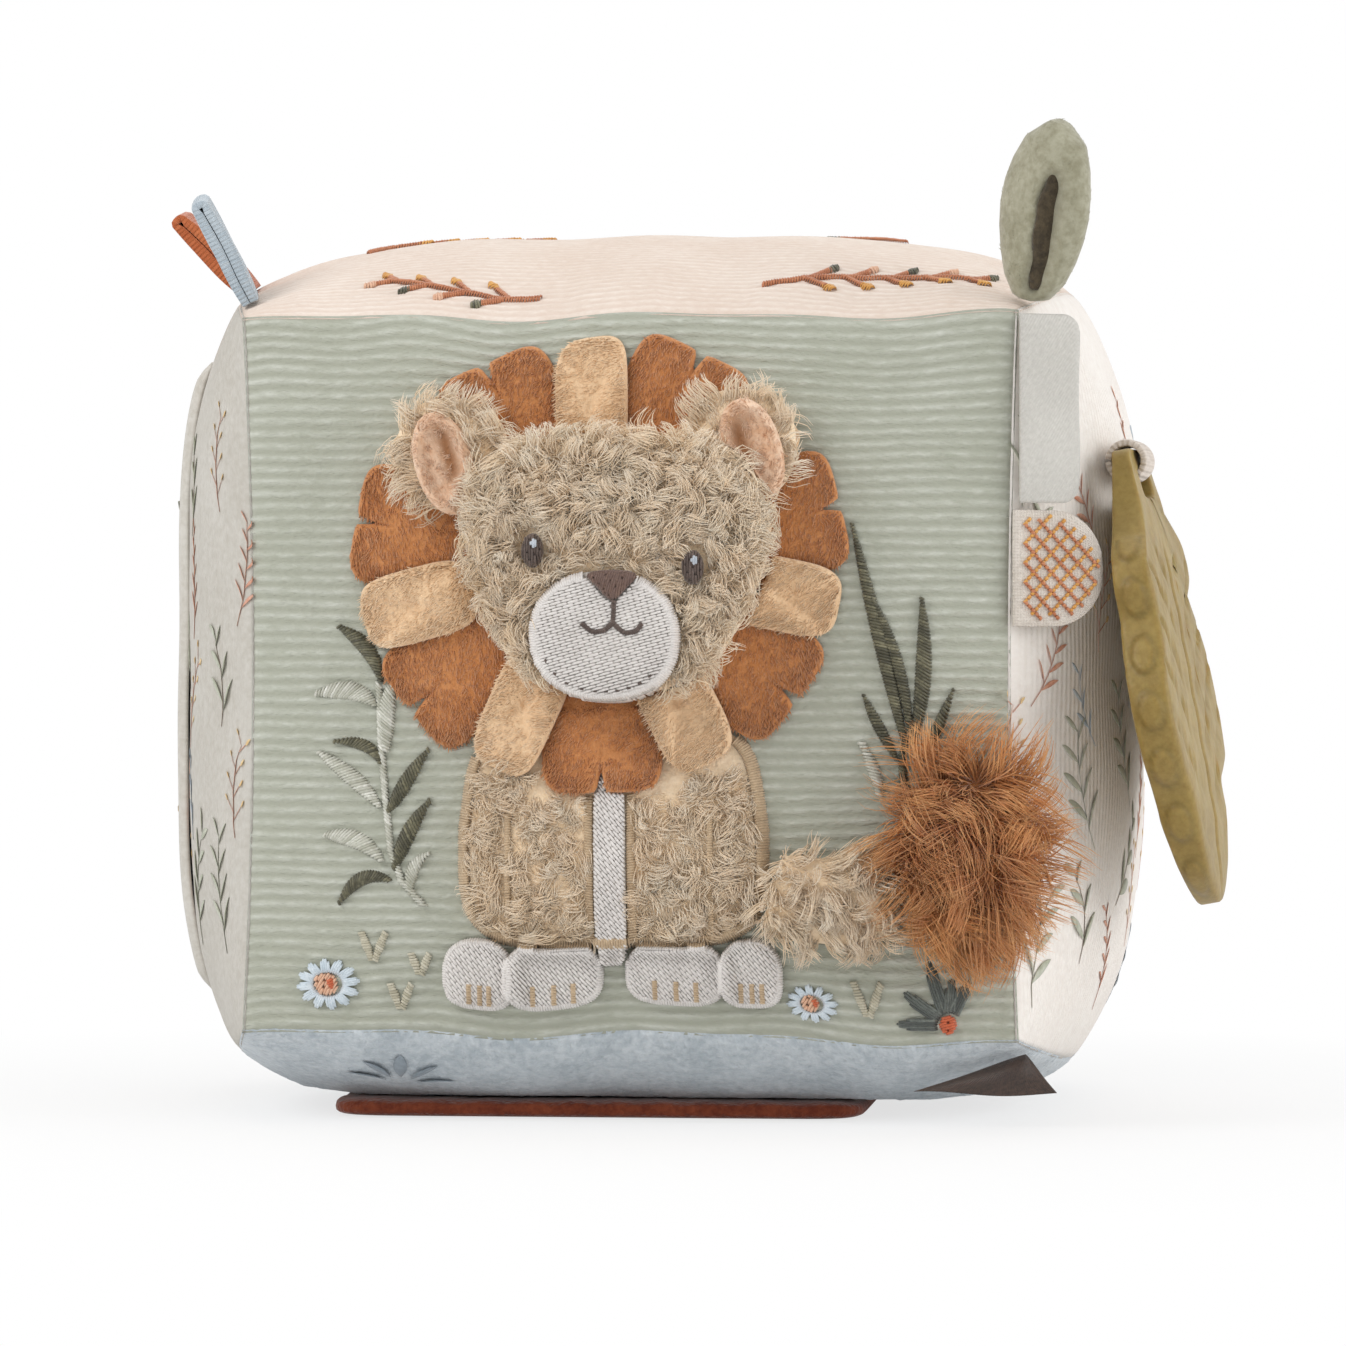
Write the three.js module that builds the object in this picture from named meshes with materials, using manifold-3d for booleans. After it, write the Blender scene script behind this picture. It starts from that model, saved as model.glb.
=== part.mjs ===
// A baby's soft activity block: six sewn fabric faces over a foam core with a rattle inside,
// an applique lion on the front, and tags, loops, a leaf, a flap, a teether and a mirror.
// Millimetres, +Z up. The origin is on the floor under the middle of the block; the lion faces -Y.
import * as THREE from "three";
import { mergeVertices } from "three/addons/utils/BufferGeometryUtils.js";
import Module from "manifold-3d";

const wasm = await Module();
wasm.setup();

// Block
const seamWidth = 125.8;
const seamDepth = 116;
const seamHeight = 116;
const blockMiddleHeight = 72.5;
const cloth = 1.6;
const seamGap = 0.22;
const layGap = 0.35;
const drawInShare = 0.022;
const middleSwellShare = 0.115;
const gridCells = 10;

// How far each face swells past its seams, and how square that swelling is
const frontCrown = { depth: 6, across: 4, up: 4 };
const backCrown = { depth: 9, across: 3, up: 3 };
const leftCrown = { depth: 10.5, across: 3, up: 4 };
const rightCrown = { depth: 11.8, across: 3, up: 3.4 };
const topCrown = { depth: 8.7, across: 4, up: 3 };
const bottomCrown = { depth: 8.5, across: 5, up: 4 };

// Mirror under the block
const mirrorFrame = { width: 88, depth: 84, rim: 12, thick: 3, corner: 7, offset: -7.3 };
const mirrorPlate = { thick: 2.2, corner: 3 };

// Rattle in the core
const rattle = { outer: 12.4, wall: 1.4, lip: 0.3, pocketGap: 0.4 };
const bead = { radius: 2.2, spacing: 5.4, settle: 0.3 };

// Lion, in millimetres right of and above the middle of the front face
const body = { at: [-1.8, -24.5], half: [24.8, 18.6], thick: 4.6, rim: 0.9, neck: [-5, -21] };
const stripe = { at: [-1.8, -30.6], half: [2.5, 16], thick: 0.3, rim: 0.6 };
const paw = { half: [8, 5.2], thick: 2.4, rim: 1, row: -47.6 };
const pawPlaces = {
  paw_rear_left: [-23.8, 5.8],
  paw_front_left: [-11.6, 8],
  paw_front_right: [8.2, 8],
  paw_rear_right: [20.4, 5],
};
const head = { at: [-1.8, 17.6], half: [26, 21.8], thick: 6.2, rim: 1.4 };
const muzzle = { at: [-3.6, 6.2], half: [12.2, 10.4], thick: 2, rim: 0.7 };
const nose = { at: [-2.2, 14.2], half: [4.1, 2.4], thick: 0.9, rim: 0.6 };
const eye = { half: [1.7, 2.7], thick: 0.7, rim: 0.5 };
const eyePlaces = { eye_left: [-15.1, 19.7], eye_right: [10.7, 17] };
const ear = { half: [9.4, 9.2], thick: 1.6, rim: 1.2 };
const earPlaces = { ear_left: [-28.6, 35.4], ear_right: [18.4, 36.6] };
const earLining = { half: [5.6, 5.2], thick: 0.2, rim: 0.7 };
const mane = { at: [-4.2, 18.1], outer: [40, 34.6], count: 7, firstDegrees: 66 };
const darkTab = { half: [10.4, 9.4], thick: 0.7, rim: 0.9, notch: 0.2 };
const lightTab = { half: [9.6, 6.2], thick: 0.7, rim: 0.9, notch: 0 };
const tail = { from: [23.6, -34.4], bend: [33, -36.4], to: [40.8, -35.4], wide: 12.8, thick: 5.4 };
const tailEndShare = 0.74;
const tuft = { at: [54.5, -28], half: [13.2, 18.5], thick: 8.6, rim: 2 };
const pileMap = { cell: 1.25, margin: 10, around: 2.6 };

// Things sewn into the seams
const label = { reach: 10.4, tall: 30.2, thick: 1.3, above: 42.7, turn: 26, round: 3 };
const wovenTag = { reach: 15.8, tall: 18.6, thick: 1.5, above: 17.2, turn: 26, round: 6 };
const leaf = { tall: 30, wide: 17, deep: 9.4, wall: 2.6, lean: 12, turn: 24, back: 6 };
const blueRibbon = { tall: 18, wide: 12, thick: 1.5, fold: 0.3, swell: 0.35, lean: -27, back: 8 };
const rustRibbon = { tall: 17, wide: 14, thick: 1.5, fold: 0.3, swell: 0.6, lean: -44, back: 24 };
const ribbonSeat = { blue: 0.25, rust: 0.3, layers: 0.1 };
const brownLoop = { left: 18, right: 5, drop: 6.4, thick: 2.6, back: 5.5 };
const flap = { tall: 97, thick: 1.3, film: 0.3, reach: 60, fromSeam: 1.6 };
const sewnGap = 0.45;

// Teether
const teether = { tall: 73.5, wide: 52, thick: 6.8, bevel: 1.6, bar: 3.2, tilt: 10.4, turn: 7.5, back: -31.5 };
const barThicknessShare = 0.45;
const fullThicknessShare = 0.4;
const strap = { wide: 9, thick: 0.9, slack: 0.4, slotWide: 12, slotTall: 4.6, above: 32.5 };

const half = { x: seamWidth / 2, y: seamDepth / 2, z: seamHeight / 2 };
const middle = new THREE.Vector3(0, 0, blockMiddleHeight);
const axes = {
  X: new THREE.Vector3(1, 0, 0),
  Y: new THREE.Vector3(0, 1, 0),
  Z: new THREE.Vector3(0, 0, 1),
};
const flip = (v) => v.clone().negate();

// A face: outward direction, the two directions along it, their half sizes and its swelling.
function makeFace(out, across, up, halves, crown) {
  return { out, across, up, halves, crown };
}
const mirrorSeat = mirrorFrame.thick + layGap;
const faces = {
  front: makeFace(flip(axes.Y), axes.X, axes.Z, [half.y, half.x, half.z], frontCrown),
  back: makeFace(axes.Y, flip(axes.X), axes.Z, [half.y, half.x, half.z], backCrown),
  left: makeFace(flip(axes.X), flip(axes.Y), axes.Z, [half.x, half.y, half.z], leftCrown),
  right: makeFace(axes.X, axes.Y, axes.Z, [half.x, half.y, half.z], rightCrown),
  top: makeFace(axes.Z, axes.X, axes.Y, [half.z, half.x, half.y], topCrown),
  bottom: makeFace(flip(axes.Z), axes.X, flip(axes.Y), [half.z, half.x, half.y], bottomCrown),
};

const swellShare = (t, power) => 1 - Math.min(1, Math.abs(t)) ** power;

function crownAt({ crown }, a, b) {
  return crown.depth * swellShare(a, crown.across) * swellShare(b, crown.up);
}

// The block swells halfway back, and its upright seams are drawn in a little halfway up.
function stuffed(point) {
  const p = point.clone().sub(middle);
  const rise = Math.min(1, Math.abs(p.z) / half.z);
  const back = Math.min(1, Math.abs(p.y) / half.y);
  const waist = 1 - drawInShare * (1 - rise * rise);
  const swell = 1 + middleSwellShare * (1 - back * back);
  return new THREE.Vector3(p.x * waist * swell, p.y * waist, p.z * swell).add(middle);
}

// The point of a face at shares a and b, raised by `lift`, with its edges drawn in by `inset`.
function facePoint(face, a, b, lift = 0, inset = 0) {
  const [deep, wide, tall] = face.halves;
  const p = middle
    .clone()
    .addScaledVector(face.out, deep + crownAt(face, a, b) + lift)
    .addScaledVector(face.across, a * (wide - inset))
    .addScaledVector(face.up, b * (tall - inset));
  const moved = stuffed(p);
  if (face.out.z < 0) moved.z = Math.max(moved.z, mirrorSeat - lift);
  return moved;
}

// The point of a face at u and v millimetres from its middle.
function onFace(face, u, v, lift) {
  return facePoint(face, u / face.halves[1], v / face.halves[2], lift);
}

// Closed meshes from points and triangles

function geometryOf(points, triangles) {
  const geometry = new THREE.BufferGeometry();
  const positions = points.flatMap((p) => [p.x, p.y, p.z]);
  geometry.setAttribute("position", new THREE.Float32BufferAttribute(positions, 3));
  geometry.setIndex(triangles);
  geometry.computeVertexNormals();
  return geometry;
}

function quad(triangles, a, b, c, d) {
  triangles.push(a, b, c, a, c, d);
}

// Joins closed rings of `count` points, one after the other.
function skin(triangles, starts, count) {
  for (let r = 0; r + 1 < starts.length; r++)
    for (let i = 0; i < count; i++) {
      const j = (i + 1) % count;
      quad(triangles, starts[r] + i, starts[r] + j, starts[r + 1] + j, starts[r + 1] + i);
    }
}

// Sections of equal count, each a closed ring, joined and capped.
function loft(sections, capOutline) {
  const count = sections[0].length;
  const triangles = [];
  skin(triangles, sections.map((_, i) => i * count), count);
  const cap = THREE.ShapeUtils.triangulateShape(capOutline, []);
  const last = (sections.length - 1) * count;
  for (const [a, b, c] of cap) triangles.push(a, c, b, last + a, last + b, last + c);
  return geometryOf(sections.flat(), triangles);
}

function solidOf(geometry) {
  const bare = geometry.clone();
  bare.deleteAttribute("normal");
  bare.deleteAttribute("uv");
  const merged = mergeVertices(bare);
  return new wasm.Manifold(
    new wasm.Mesh({
      numProp: 3,
      vertProperties: new Float32Array(merged.attributes.position.array),
      triVerts: new Uint32Array(merged.index.array),
    }),
  );
}

function geometryFrom(solid) {
  const mesh = solid.getMesh();
  const geometry = new THREE.BufferGeometry();
  geometry.setAttribute("position", new THREE.BufferAttribute(mesh.vertProperties, 3));
  geometry.setIndex(new THREE.BufferAttribute(mesh.triVerts, 1));
  return geometry;
}

const block = new THREE.Group();

function addPiece(name, geometry, color, roughness = 0.9, metalness = 0, parent = block) {
  const material = new THREE.MeshStandardMaterial({ color, roughness, metalness });
  const mesh = new THREE.Mesh(geometry, material);
  mesh.name = name;
  parent.add(mesh);
  return mesh;
}

// Panels and core

// Shares along a face, closer together near its seams.
const gridShares = Array.from({ length: gridCells + 1 }, (_, i) =>
  Math.sin((Math.PI / 2) * ((2 * i) / gridCells - 1)),
);

// A cloth between two lifts over a face, as a grid with closed edges.
function clothGeometry(face, acrossShares, upShares, outer, inner) {
  const wide = acrossShares.length;
  const tall = upShares.length;
  const sheet = ({ lift, inset }) =>
    upShares.flatMap((b) => acrossShares.map((a) => facePoint(face, a, b, lift, inset)));
  const points = [...sheet(outer), ...sheet(inner)];
  const under = wide * tall;
  const triangles = [];
  for (let j = 0; j + 1 < tall; j++)
    for (let i = 0; i + 1 < wide; i++) {
      const p = j * wide + i;
      quad(triangles, p, p + 1, p + wide + 1, p + wide);
      quad(triangles, under + p, under + p + wide, under + p + wide + 1, under + p + 1);
    }
  for (let i = 0; i + 1 < wide; i++) {
    const top = (tall - 1) * wide + i;
    quad(triangles, i, under + i, under + i + 1, i + 1);
    quad(triangles, top, top + 1, under + top + 1, under + top);
  }
  for (let j = 0; j + 1 < tall; j++) {
    const left = j * wide;
    const right = left + wide - 1;
    quad(triangles, left, left + wide, under + left + wide, under + left);
    quad(triangles, right, under + right, under + right + wide, right + wide);
  }
  return geometryOf(points, triangles);
}

function panelGeometry(face) {
  const outer = { lift: 0, inset: seamGap };
  const inner = { lift: -cloth, inset: seamGap + cloth };
  return clothGeometry(face, gridShares, gridShares, outer, inner);
}

function coreSolid() {
  const inset = cloth + seamGap + layGap;
  const n = gridShares.length;
  const points = [];
  const triangles = [];
  for (const face of Object.values(faces)) {
    const first = points.length;
    for (const b of gridShares)
      for (const a of gridShares) points.push(facePoint(face, a, b, -inset, inset));
    for (let j = 0; j + 1 < n; j++)
      for (let i = 0; i + 1 < n; i++) {
        const p = first + j * n + i;
        quad(triangles, p, p + 1, p + n + 1, p + n);
      }
  }
  const geometry = mergeVertices(geometryOf(points, triangles), layGap / 10);
  return solidOf(geometry);
}

// The core is two foam halves with a round pocket between them for the rattle.
function addCore() {
  const pocket = new THREE.SphereGeometry(rattle.outer + rattle.pocketGap, 24, 16);
  pocket.translate(middle.x, middle.y, middle.z);
  const pocketed = coreSolid().subtract(solidOf(pocket));
  const side = 2 * (seamWidth + seamDepth);
  for (const [name, sign] of [["foam_core_front", -1], ["foam_core_back", 1]]) {
    const cutter = new THREE.BoxGeometry(side, side, side);
    cutter.translate(0, (sign * (side + layGap)) / 2, middle.z);
    addPiece(name, geometryFrom(pocketed.intersect(solidOf(cutter))), "#e9e4d6");
  }
}

function addPanels() {
  addPiece("front_panel", panelGeometry(faces.front), "#b5bfa8");
  addPiece("back_panel", panelGeometry(faces.back), "#9aa287");
  addPiece("left_panel", panelGeometry(faces.left), "#e3e2de");
  addPiece("right_panel", panelGeometry(faces.right), "#ecd9cf");
  addPiece("top_panel", panelGeometry(faces.top), "#f0e2d8");
  addPiece("bottom_panel", panelGeometry(faces.bottom), "#b4bec6");
}

// Rattle

function halfShell(sign) {
  const inner = rattle.outer - rattle.wall;
  const steps = 8;
  const profile = [];
  const rimHeight = rattle.lip / 2;
  for (let i = 0; i <= steps; i++) {
    const t = (i / steps) * Math.PI / 2;
    profile.push(new THREE.Vector2(inner * Math.sin(t), -inner * Math.cos(t)));
  }
  profile[steps].y = -rimHeight;
  for (let i = steps; i >= 0; i--) {
    const t = (i / steps) * Math.PI / 2;
    profile.push(new THREE.Vector2(rattle.outer * Math.sin(t), -rattle.outer * Math.cos(t)));
  }
  profile[steps + 1].y = -rimHeight;
  const geometry = new THREE.LatheGeometry(profile.reverse(), 20);
  geometry.rotateX((sign * Math.PI) / 2);
  geometry.translate(middle.x, middle.y, middle.z);
  return geometry;
}

function addRattle() {
  addPiece("rattle_shell_lower", halfShell(1), "#f4f1ea", 0.4);
  addPiece("rattle_shell_upper", halfShell(-1), "#f4f1ea", 0.4);
  const inner = rattle.outer - rattle.wall - bead.radius - bead.settle;
  for (let i = 0; i < 3; i++) {
    const x = (i - 1) * bead.spacing;
    const geometry = new THREE.SphereGeometry(bead.radius, 12, 8);
    geometry.translate(x, middle.y, middle.z - Math.sqrt(inner * inner - x * x));
    addPiece(`rattle_bead_${i + 1}`, geometry, "#c8643c", 0.4);
  }
}

// Outlines of pads as the distance from their middle in each direction

function ovalOutline([wide, tall], power = 2) {
  return (angle) => {
    const c = Math.abs(Math.cos(angle) / wide);
    const s = Math.abs(Math.sin(angle) / tall);
    return (c ** power + s ** power) ** (-1 / power);
  };
}

// A smooth outline through shares of the half sizes.
function drawnOutline([wide, tall], shares) {
  const points = shares.map(([x, y]) => new THREE.Vector3(x * wide, y * tall, 0));
  const curve = new THREE.CatmullRomCurve3(points, true, "catmullrom", 0.5);
  const around = curve
    .getPoints(180)
    .map((p) => ({ angle: Math.atan2(p.y, p.x), far: Math.hypot(p.x, p.y) }))
    .sort((p, q) => p.angle - q.angle);
  const turn = 2 * Math.PI;
  return (angle) => {
    const a = Math.atan2(Math.sin(angle), Math.cos(angle));
    const next = Math.max(0, around.findIndex((p) => p.angle >= a));
    const q = around[next];
    const p = around.at(next - 1);
    const gapAngle = (q.angle - p.angle + turn) % turn || turn;
    const share = ((a - p.angle + turn) % turn) / gapAngle;
    return p.far + (q.far - p.far) * Math.min(1, share);
  };
}

function turned(outline, degrees) {
  const by = THREE.MathUtils.degToRad(degrees);
  return (angle) => outline(angle - by);
}

const notchSpread = 0.32;

// A tab's outline points along +X; a notch there makes its tip two-lobed.
function tabOutline({ half: size, notch }) {
  const oval = ovalOutline(size, 3);
  return (angle) => {
    const a = Math.atan2(Math.sin(angle), Math.cos(angle));
    return oval(angle) * (1 - notch * Math.exp(-((a / notchSpread) ** 2)));
  };
}

// Pads lie on the front face and on each other, so a map keeps how high the pile is so far.
const mapCell = pileMap.cell;
const mapReach = Math.ceil((Math.max(half.x, half.z) + pileMap.margin) / mapCell);
const mapSide = 2 * mapReach + 1;
const pile = new Float64Array(mapSide * mapSide);

function pileAt(u, v, around) {
  const reach = Math.ceil(around / mapCell);
  const i0 = Math.round(u / mapCell) + mapReach;
  const j0 = Math.round(v / mapCell) + mapReach;
  let high = 0;
  for (let j = Math.max(0, j0 - reach); j <= Math.min(mapSide - 1, j0 + reach); j++)
    for (let i = Math.max(0, i0 - reach); i <= Math.min(mapSide - 1, i0 + reach); i++)
      high = Math.max(high, pile[j * mapSide + i]);
  return high;
}

const shareIn = (pad, u, v) => {
  const [x, y] = [u - pad.at[0], v - pad.at[1]];
  return Math.hypot(x, y) / pad.outline(Math.atan2(y, x));
};

// An outline that stops short of another pad.
function trimmed(pad, other, clear) {
  const steps = 60;
  return (angle) => {
    const far = pad.outline(angle);
    for (let i = 1; i <= steps; i++) {
      const r = (far * i) / steps;
      const [u, v] = [pad.at[0] + r * Math.cos(angle), pad.at[1] + r * Math.sin(angle)];
      const [x, y] = [u - other.at[0], v - other.at[1]];
      if (Math.hypot(x, y) < other.outline(Math.atan2(y, x)) + clear)
        return Math.max((far * (i - 1)) / steps, far / steps);
    }
    return far;
  };
}

const padRings = [0.5, 0.82, 1];
const domeShare = (s) => Math.sqrt(Math.max(0, 1 - s ** 3));

// A pad with a neck thins towards its top, where other pads lie over it.
function neckShare({ neck }, v) {
  if (!neck) return 1;
  return THREE.MathUtils.clamp((neck[0] - v) / (neck[0] - neck[1]), 0, 1);
}

// A pad drapes over the pile, or, when `level`, keeps one smooth top over it.
function addPad(name, pad, color, { points = 20, level = false } = {}) {
  const [u0, v0] = pad.at;
  const ringPoint = (share, i) => {
    const angle = (2 * Math.PI * i) / points;
    const r = share * pad.outline(angle);
    return [u0 + r * Math.cos(angle), v0 + r * Math.sin(angle)];
  };
  const baseAt = (u, v) => pileAt(u, v, pileMap.around) + layGap;
  const rimSpots = Array.from({ length: points }, (_, i) => ringPoint(1, i));
  const levelBase = Math.max(...rimSpots.map(([u, v]) => baseAt(u, v)));
  const topAt = (u, v, s) => {
    const base = baseAt(u, v);
    const dome = pad.rim + pad.thick * domeShare(s) * neckShare(pad, v);
    return level ? Math.max(levelBase + dome, base + pad.rim) : base + dome;
  };
  const centreAt = (lift) => onFace(faces.front, u0, v0, lift);
  const vertices = [centreAt(topAt(u0, v0, 0)), centreAt(baseAt(u0, v0))];
  const upper = [];
  const lower = [];
  for (const share of padRings) {
    upper.push(vertices.length);
    for (let i = 0; i < points; i++) {
      const [u, v] = ringPoint(share, i);
      vertices.push(onFace(faces.front, u, v, topAt(u, v, share)));
    }
  }
  for (const share of [...padRings].reverse()) {
    lower.push(vertices.length);
    for (let i = 0; i < points; i++) {
      const [u, v] = ringPoint(share, i);
      vertices.push(onFace(faces.front, u, v, baseAt(u, v)));
    }
  }
  const rings = [...upper, ...lower];
  const triangles = [];
  skin(triangles, rings.slice().reverse(), points);
  for (let i = 0; i < points; i++) {
    const j = (i + 1) % points;
    triangles.push(0, upper[0] + i, upper[0] + j);
    triangles.push(1, lower.at(-1) + j, lower.at(-1) + i);
  }
  const mesh = addPiece(name, geometryOf(vertices, triangles), color);
  raisePile(pad, topAt);
  return mesh;
}

function raisePile(pad, topAt) {
  const raised = [];
  for (let j = 0; j < mapSide; j++)
    for (let i = 0; i < mapSide; i++) {
      const [u, v] = [(i - mapReach) * mapCell, (j - mapReach) * mapCell];
      const share = shareIn(pad, u, v);
      if (share <= 1) raised.push([j * mapSide + i, topAt(u, v, share)]);
    }
  for (const [cell, top] of raised) pile[cell] = Math.max(pile[cell], top);
}

// Lion

const headShares = [
  [1, 0.16], [0.93, 0.55], [0.62, 0.9], [0, 0.99], [-0.62, 0.92], [-0.93, 0.62],
  [-1, 0.2], [-0.84, -0.38], [-0.56, -0.82], [0, -1], [0.56, -0.8], [0.84, -0.36],
];
const noseShares = [
  [0, -1], [0.62, -0.1], [0.98, 0.6], [0.6, 0.96], [-0.6, 0.96], [-0.98, 0.6], [-0.62, -0.1],
];
const manePlaceShare = 0.76;

function manePlace(step) {
  const degrees = mane.firstDegrees - (360 / mane.count) * step;
  const angle = THREE.MathUtils.degToRad(degrees);
  const u = mane.at[0] + manePlaceShare * mane.outer[0] * Math.cos(angle);
  const v = mane.at[1] + manePlaceShare * mane.outer[1] * Math.sin(angle);
  return { at: [u, v], degrees };
}

function addMane(headPad) {
  for (let i = 0; i < mane.count; i++) {
    const { at, degrees } = manePlace(i);
    const outline = turned(tabOutline(darkTab), degrees);
    addPad(`mane_dark_${i + 1}`, { ...darkTab, at, outline }, "#b5763f", { points: 18 });
  }
  for (let i = 0; i < mane.count; i++) {
    const { at, degrees } = manePlace(i + 0.5);
    const pad = { ...lightTab, at, outline: turned(tabOutline(lightTab), degrees) };
    pad.outline = trimmed({ ...pad }, headPad, sewnGap);
    addPad(`mane_light_${i + 1}`, pad, "#e5b57e", { points: 18 });
  }
}

function addLion() {
  const headPad = { ...head, outline: drawnOutline(head.half, headShares) };
  const bodyPad = { ...body, outline: ovalOutline(body.half, 4.5) };
  addPad("lion_body", bodyPad, "#cdb593", { points: 28, level: true });
  for (const [name, [u, wide]] of Object.entries(pawPlaces)) {
    const pad = { ...paw, at: [u, paw.row], outline: ovalOutline([wide, paw.half[1]], 3) };
    pad.outline = trimmed({ ...pad }, bodyPad, sewnGap);
    addPad(name, pad, "#eee9e4", { points: 16 });
  }
  addPad("chest_stripe", { ...stripe, outline: ovalOutline(stripe.half, 5) }, "#eee9e4");
  addMane(headPad);
  for (const side of ["left", "right"]) {
    const at = earPlaces[`ear_${side}`];
    const pad = { ...ear, at, outline: ovalOutline(ear.half, 2.4) };
    pad.outline = trimmed({ ...pad }, headPad, sewnGap);
    addPad(`ear_${side}`, pad, "#cdb593", { level: true });
    const lining = { ...earLining, at, outline: ovalOutline(earLining.half, 2.2) };
    lining.outline = trimmed({ ...lining }, headPad, 3 * sewnGap);
    addPad(`ear_lining_${side}`, lining, "#e3b18f", { points: 16 });
  }
  addPad("lion_head", headPad, "#cdb593", { points: 32, level: true });
  const muzzlePad = { ...muzzle, outline: ovalOutline(muzzle.half, 2.2) };
  addPad("muzzle", muzzlePad, "#e3dad6", { points: 24 });
  const nosePad = { ...nose, outline: drawnOutline(nose.half, noseShares) };
  addPad("nose", nosePad, "#6e5650", { points: 14 });
  for (const [name, at] of Object.entries(eyePlaces))
    addPad(name, { ...eye, at, outline: ovalOutline(eye.half) }, "#5f5552", { points: 12 });
}

// The tail is a flattened tube of sections along a bent line; the tuft is a pad at its end.
function addTail() {
  const line = new THREE.QuadraticBezierCurve(
    new THREE.Vector2(...tail.from),
    new THREE.Vector2(...tail.bend),
    new THREE.Vector2(...tail.to),
  );
  const stations = 8;
  const around = 10;
  const sections = [];
  const lift = layGap + (sewnGap + tail.thick) / 2;
  for (let s = 0; s <= stations; s++) {
    const p = line.getPoint(s / stations);
    const d = line.getTangent(s / stations);
    const size = tailEndShare + (1 - tailEndShare) * Math.sin((Math.PI * s) / stations);
    const section = [];
    for (let k = 0; k < around; k++) {
      const angle = (2 * Math.PI * k) / around;
      const side = (size * tail.wide * Math.cos(angle)) / 2;
      const rise = lift + (size * tail.thick * Math.sin(angle)) / 2;
      section.push(onFace(faces.front, p.x - d.y * side, p.y + d.x * side, rise));
    }
    sections.push(section);
  }
  const cap = Array.from({ length: around }, (_, k) => {
    const angle = (2 * Math.PI * k) / around;
    return new THREE.Vector2(Math.cos(angle), Math.sin(angle));
  });
  addPiece("tail", loft(sections, cap), "#cdb593");
  const tuftPad = { ...tuft, outline: ovalOutline(tuft.half, 2.3) };
  addPad("tail_tuft", tuftPad, "#b57a47", { level: true });
}

// Seam pieces

function placed(geometry, { turnX = 0, turnY = 0, turnZ = 0, at }) {
  const rad = THREE.MathUtils.degToRad;
  geometry.rotateX(rad(turnX));
  geometry.rotateY(rad(turnY));
  geometry.rotateZ(rad(turnZ));
  geometry.translate(at.x, at.y, at.z);
  return geometry;
}

// A flat tag in the XZ plane from its sewn edge at x = 0, with its outer corners rounded.
function tagGeometry({ reach, tall, thick, round: corner }) {
  const shape = new THREE.Shape();
  shape.moveTo(sewnGap, -tall / 2);
  shape.lineTo(reach - corner, -tall / 2);
  shape.quadraticCurveTo(reach, -tall / 2, reach, corner - tall / 2);
  shape.lineTo(reach, tall / 2 - corner);
  shape.quadraticCurveTo(reach, tall / 2, reach - corner, tall / 2);
  shape.lineTo(sewnGap, tall / 2);
  const geometry = new THREE.ExtrudeGeometry(shape, {
    depth: thick,
    bevelEnabled: false,
    curveSegments: 5,
  });
  geometry.translate(0, 0, -thick / 2);
  return geometry.rotateX(Math.PI / 2);
}

function addTags() {
  const seamAt = ({ above, tall, thick }) => {
    const widest = facePoint(faces.front, 1, (above + tall / 2) / half.z);
    return new THREE.Vector3(widest.x, widest.y - thick / 2 - seamGap, middle.z + above);
  };
  const sewn = (tag) => placed(tagGeometry(tag), { turnZ: tag.turn, at: seamAt(tag) });
  addPiece("label_blank", sewn(label), "#f2efe9", 0.45);
  addPiece("woven_tag", sewn(wovenTag), "#efe9df");
}

// A ribbon folded in two, standing on z = 0 with its fold up and its width along Y.
function foldedRibbon({ tall, wide, thick, fold, swell }) {
  const steps = 9;
  const centre = [];
  const reach = (fold + thick) / 2;
  const foot = (ribbonSeat.layers + thick) / 2;
  const foldTurns = 6;
  const sideAt = (t) =>
    THREE.MathUtils.lerp(foot, reach, Math.sqrt(t)) + swell * Math.sin(Math.PI * t);
  for (let i = 0; i <= steps; i++) {
    const t = i / steps;
    centre.push(new THREE.Vector2(-sideAt(t), t * (tall - reach)));
  }
  for (let i = 1; i < foldTurns; i++) {
    const a = Math.PI * (1 - i / foldTurns);
    centre.push(new THREE.Vector2(reach * Math.cos(a), tall - reach + reach * Math.sin(a)));
  }
  for (let i = steps; i >= 0; i--) {
    const t = i / steps;
    centre.push(new THREE.Vector2(sideAt(t), t * (tall - reach)));
  }
  const side = (sign) =>
    centre.map((p, i) => {
      const next = centre[Math.min(i + 1, centre.length - 1)];
      const d = next.clone().sub(centre[Math.max(i - 1, 0)]).normalize();
      return new THREE.Vector2(p.x - (sign * d.y * thick) / 2, p.y + (sign * d.x * thick) / 2);
    });
  const shape = new THREE.Shape([...side(1), ...side(-1).reverse()]);
  const geometry = new THREE.ExtrudeGeometry(shape, { depth: wide, bevelEnabled: false });
  geometry.translate(0, 0, -wide / 2);
  return geometry.rotateX(Math.PI / 2);
}

// Stands a piece on the seam at share `a` of the top face, `back` behind the front seam.
function onTopSeam(geometry, a, back, lean, lift) {
  const share = (at) => at / half.y - 1;
  const foot = facePoint(faces.top, a, share(back));
  const along = facePoint(faces.top, a, share(back + cloth)).sub(foot).normalize();
  const tip = THREE.MathUtils.degToRad(lean);
  const up = new THREE.Vector3(Math.sin(tip), 0, Math.cos(tip));
  const across = along.clone().cross(up).normalize();
  up.copy(across).cross(along);
  const turn = new THREE.Matrix4().makeBasis(across, along, up);
  return geometry.applyMatrix4(turn.setPosition(foot.addScaledVector(up, lift)));
}

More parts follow.
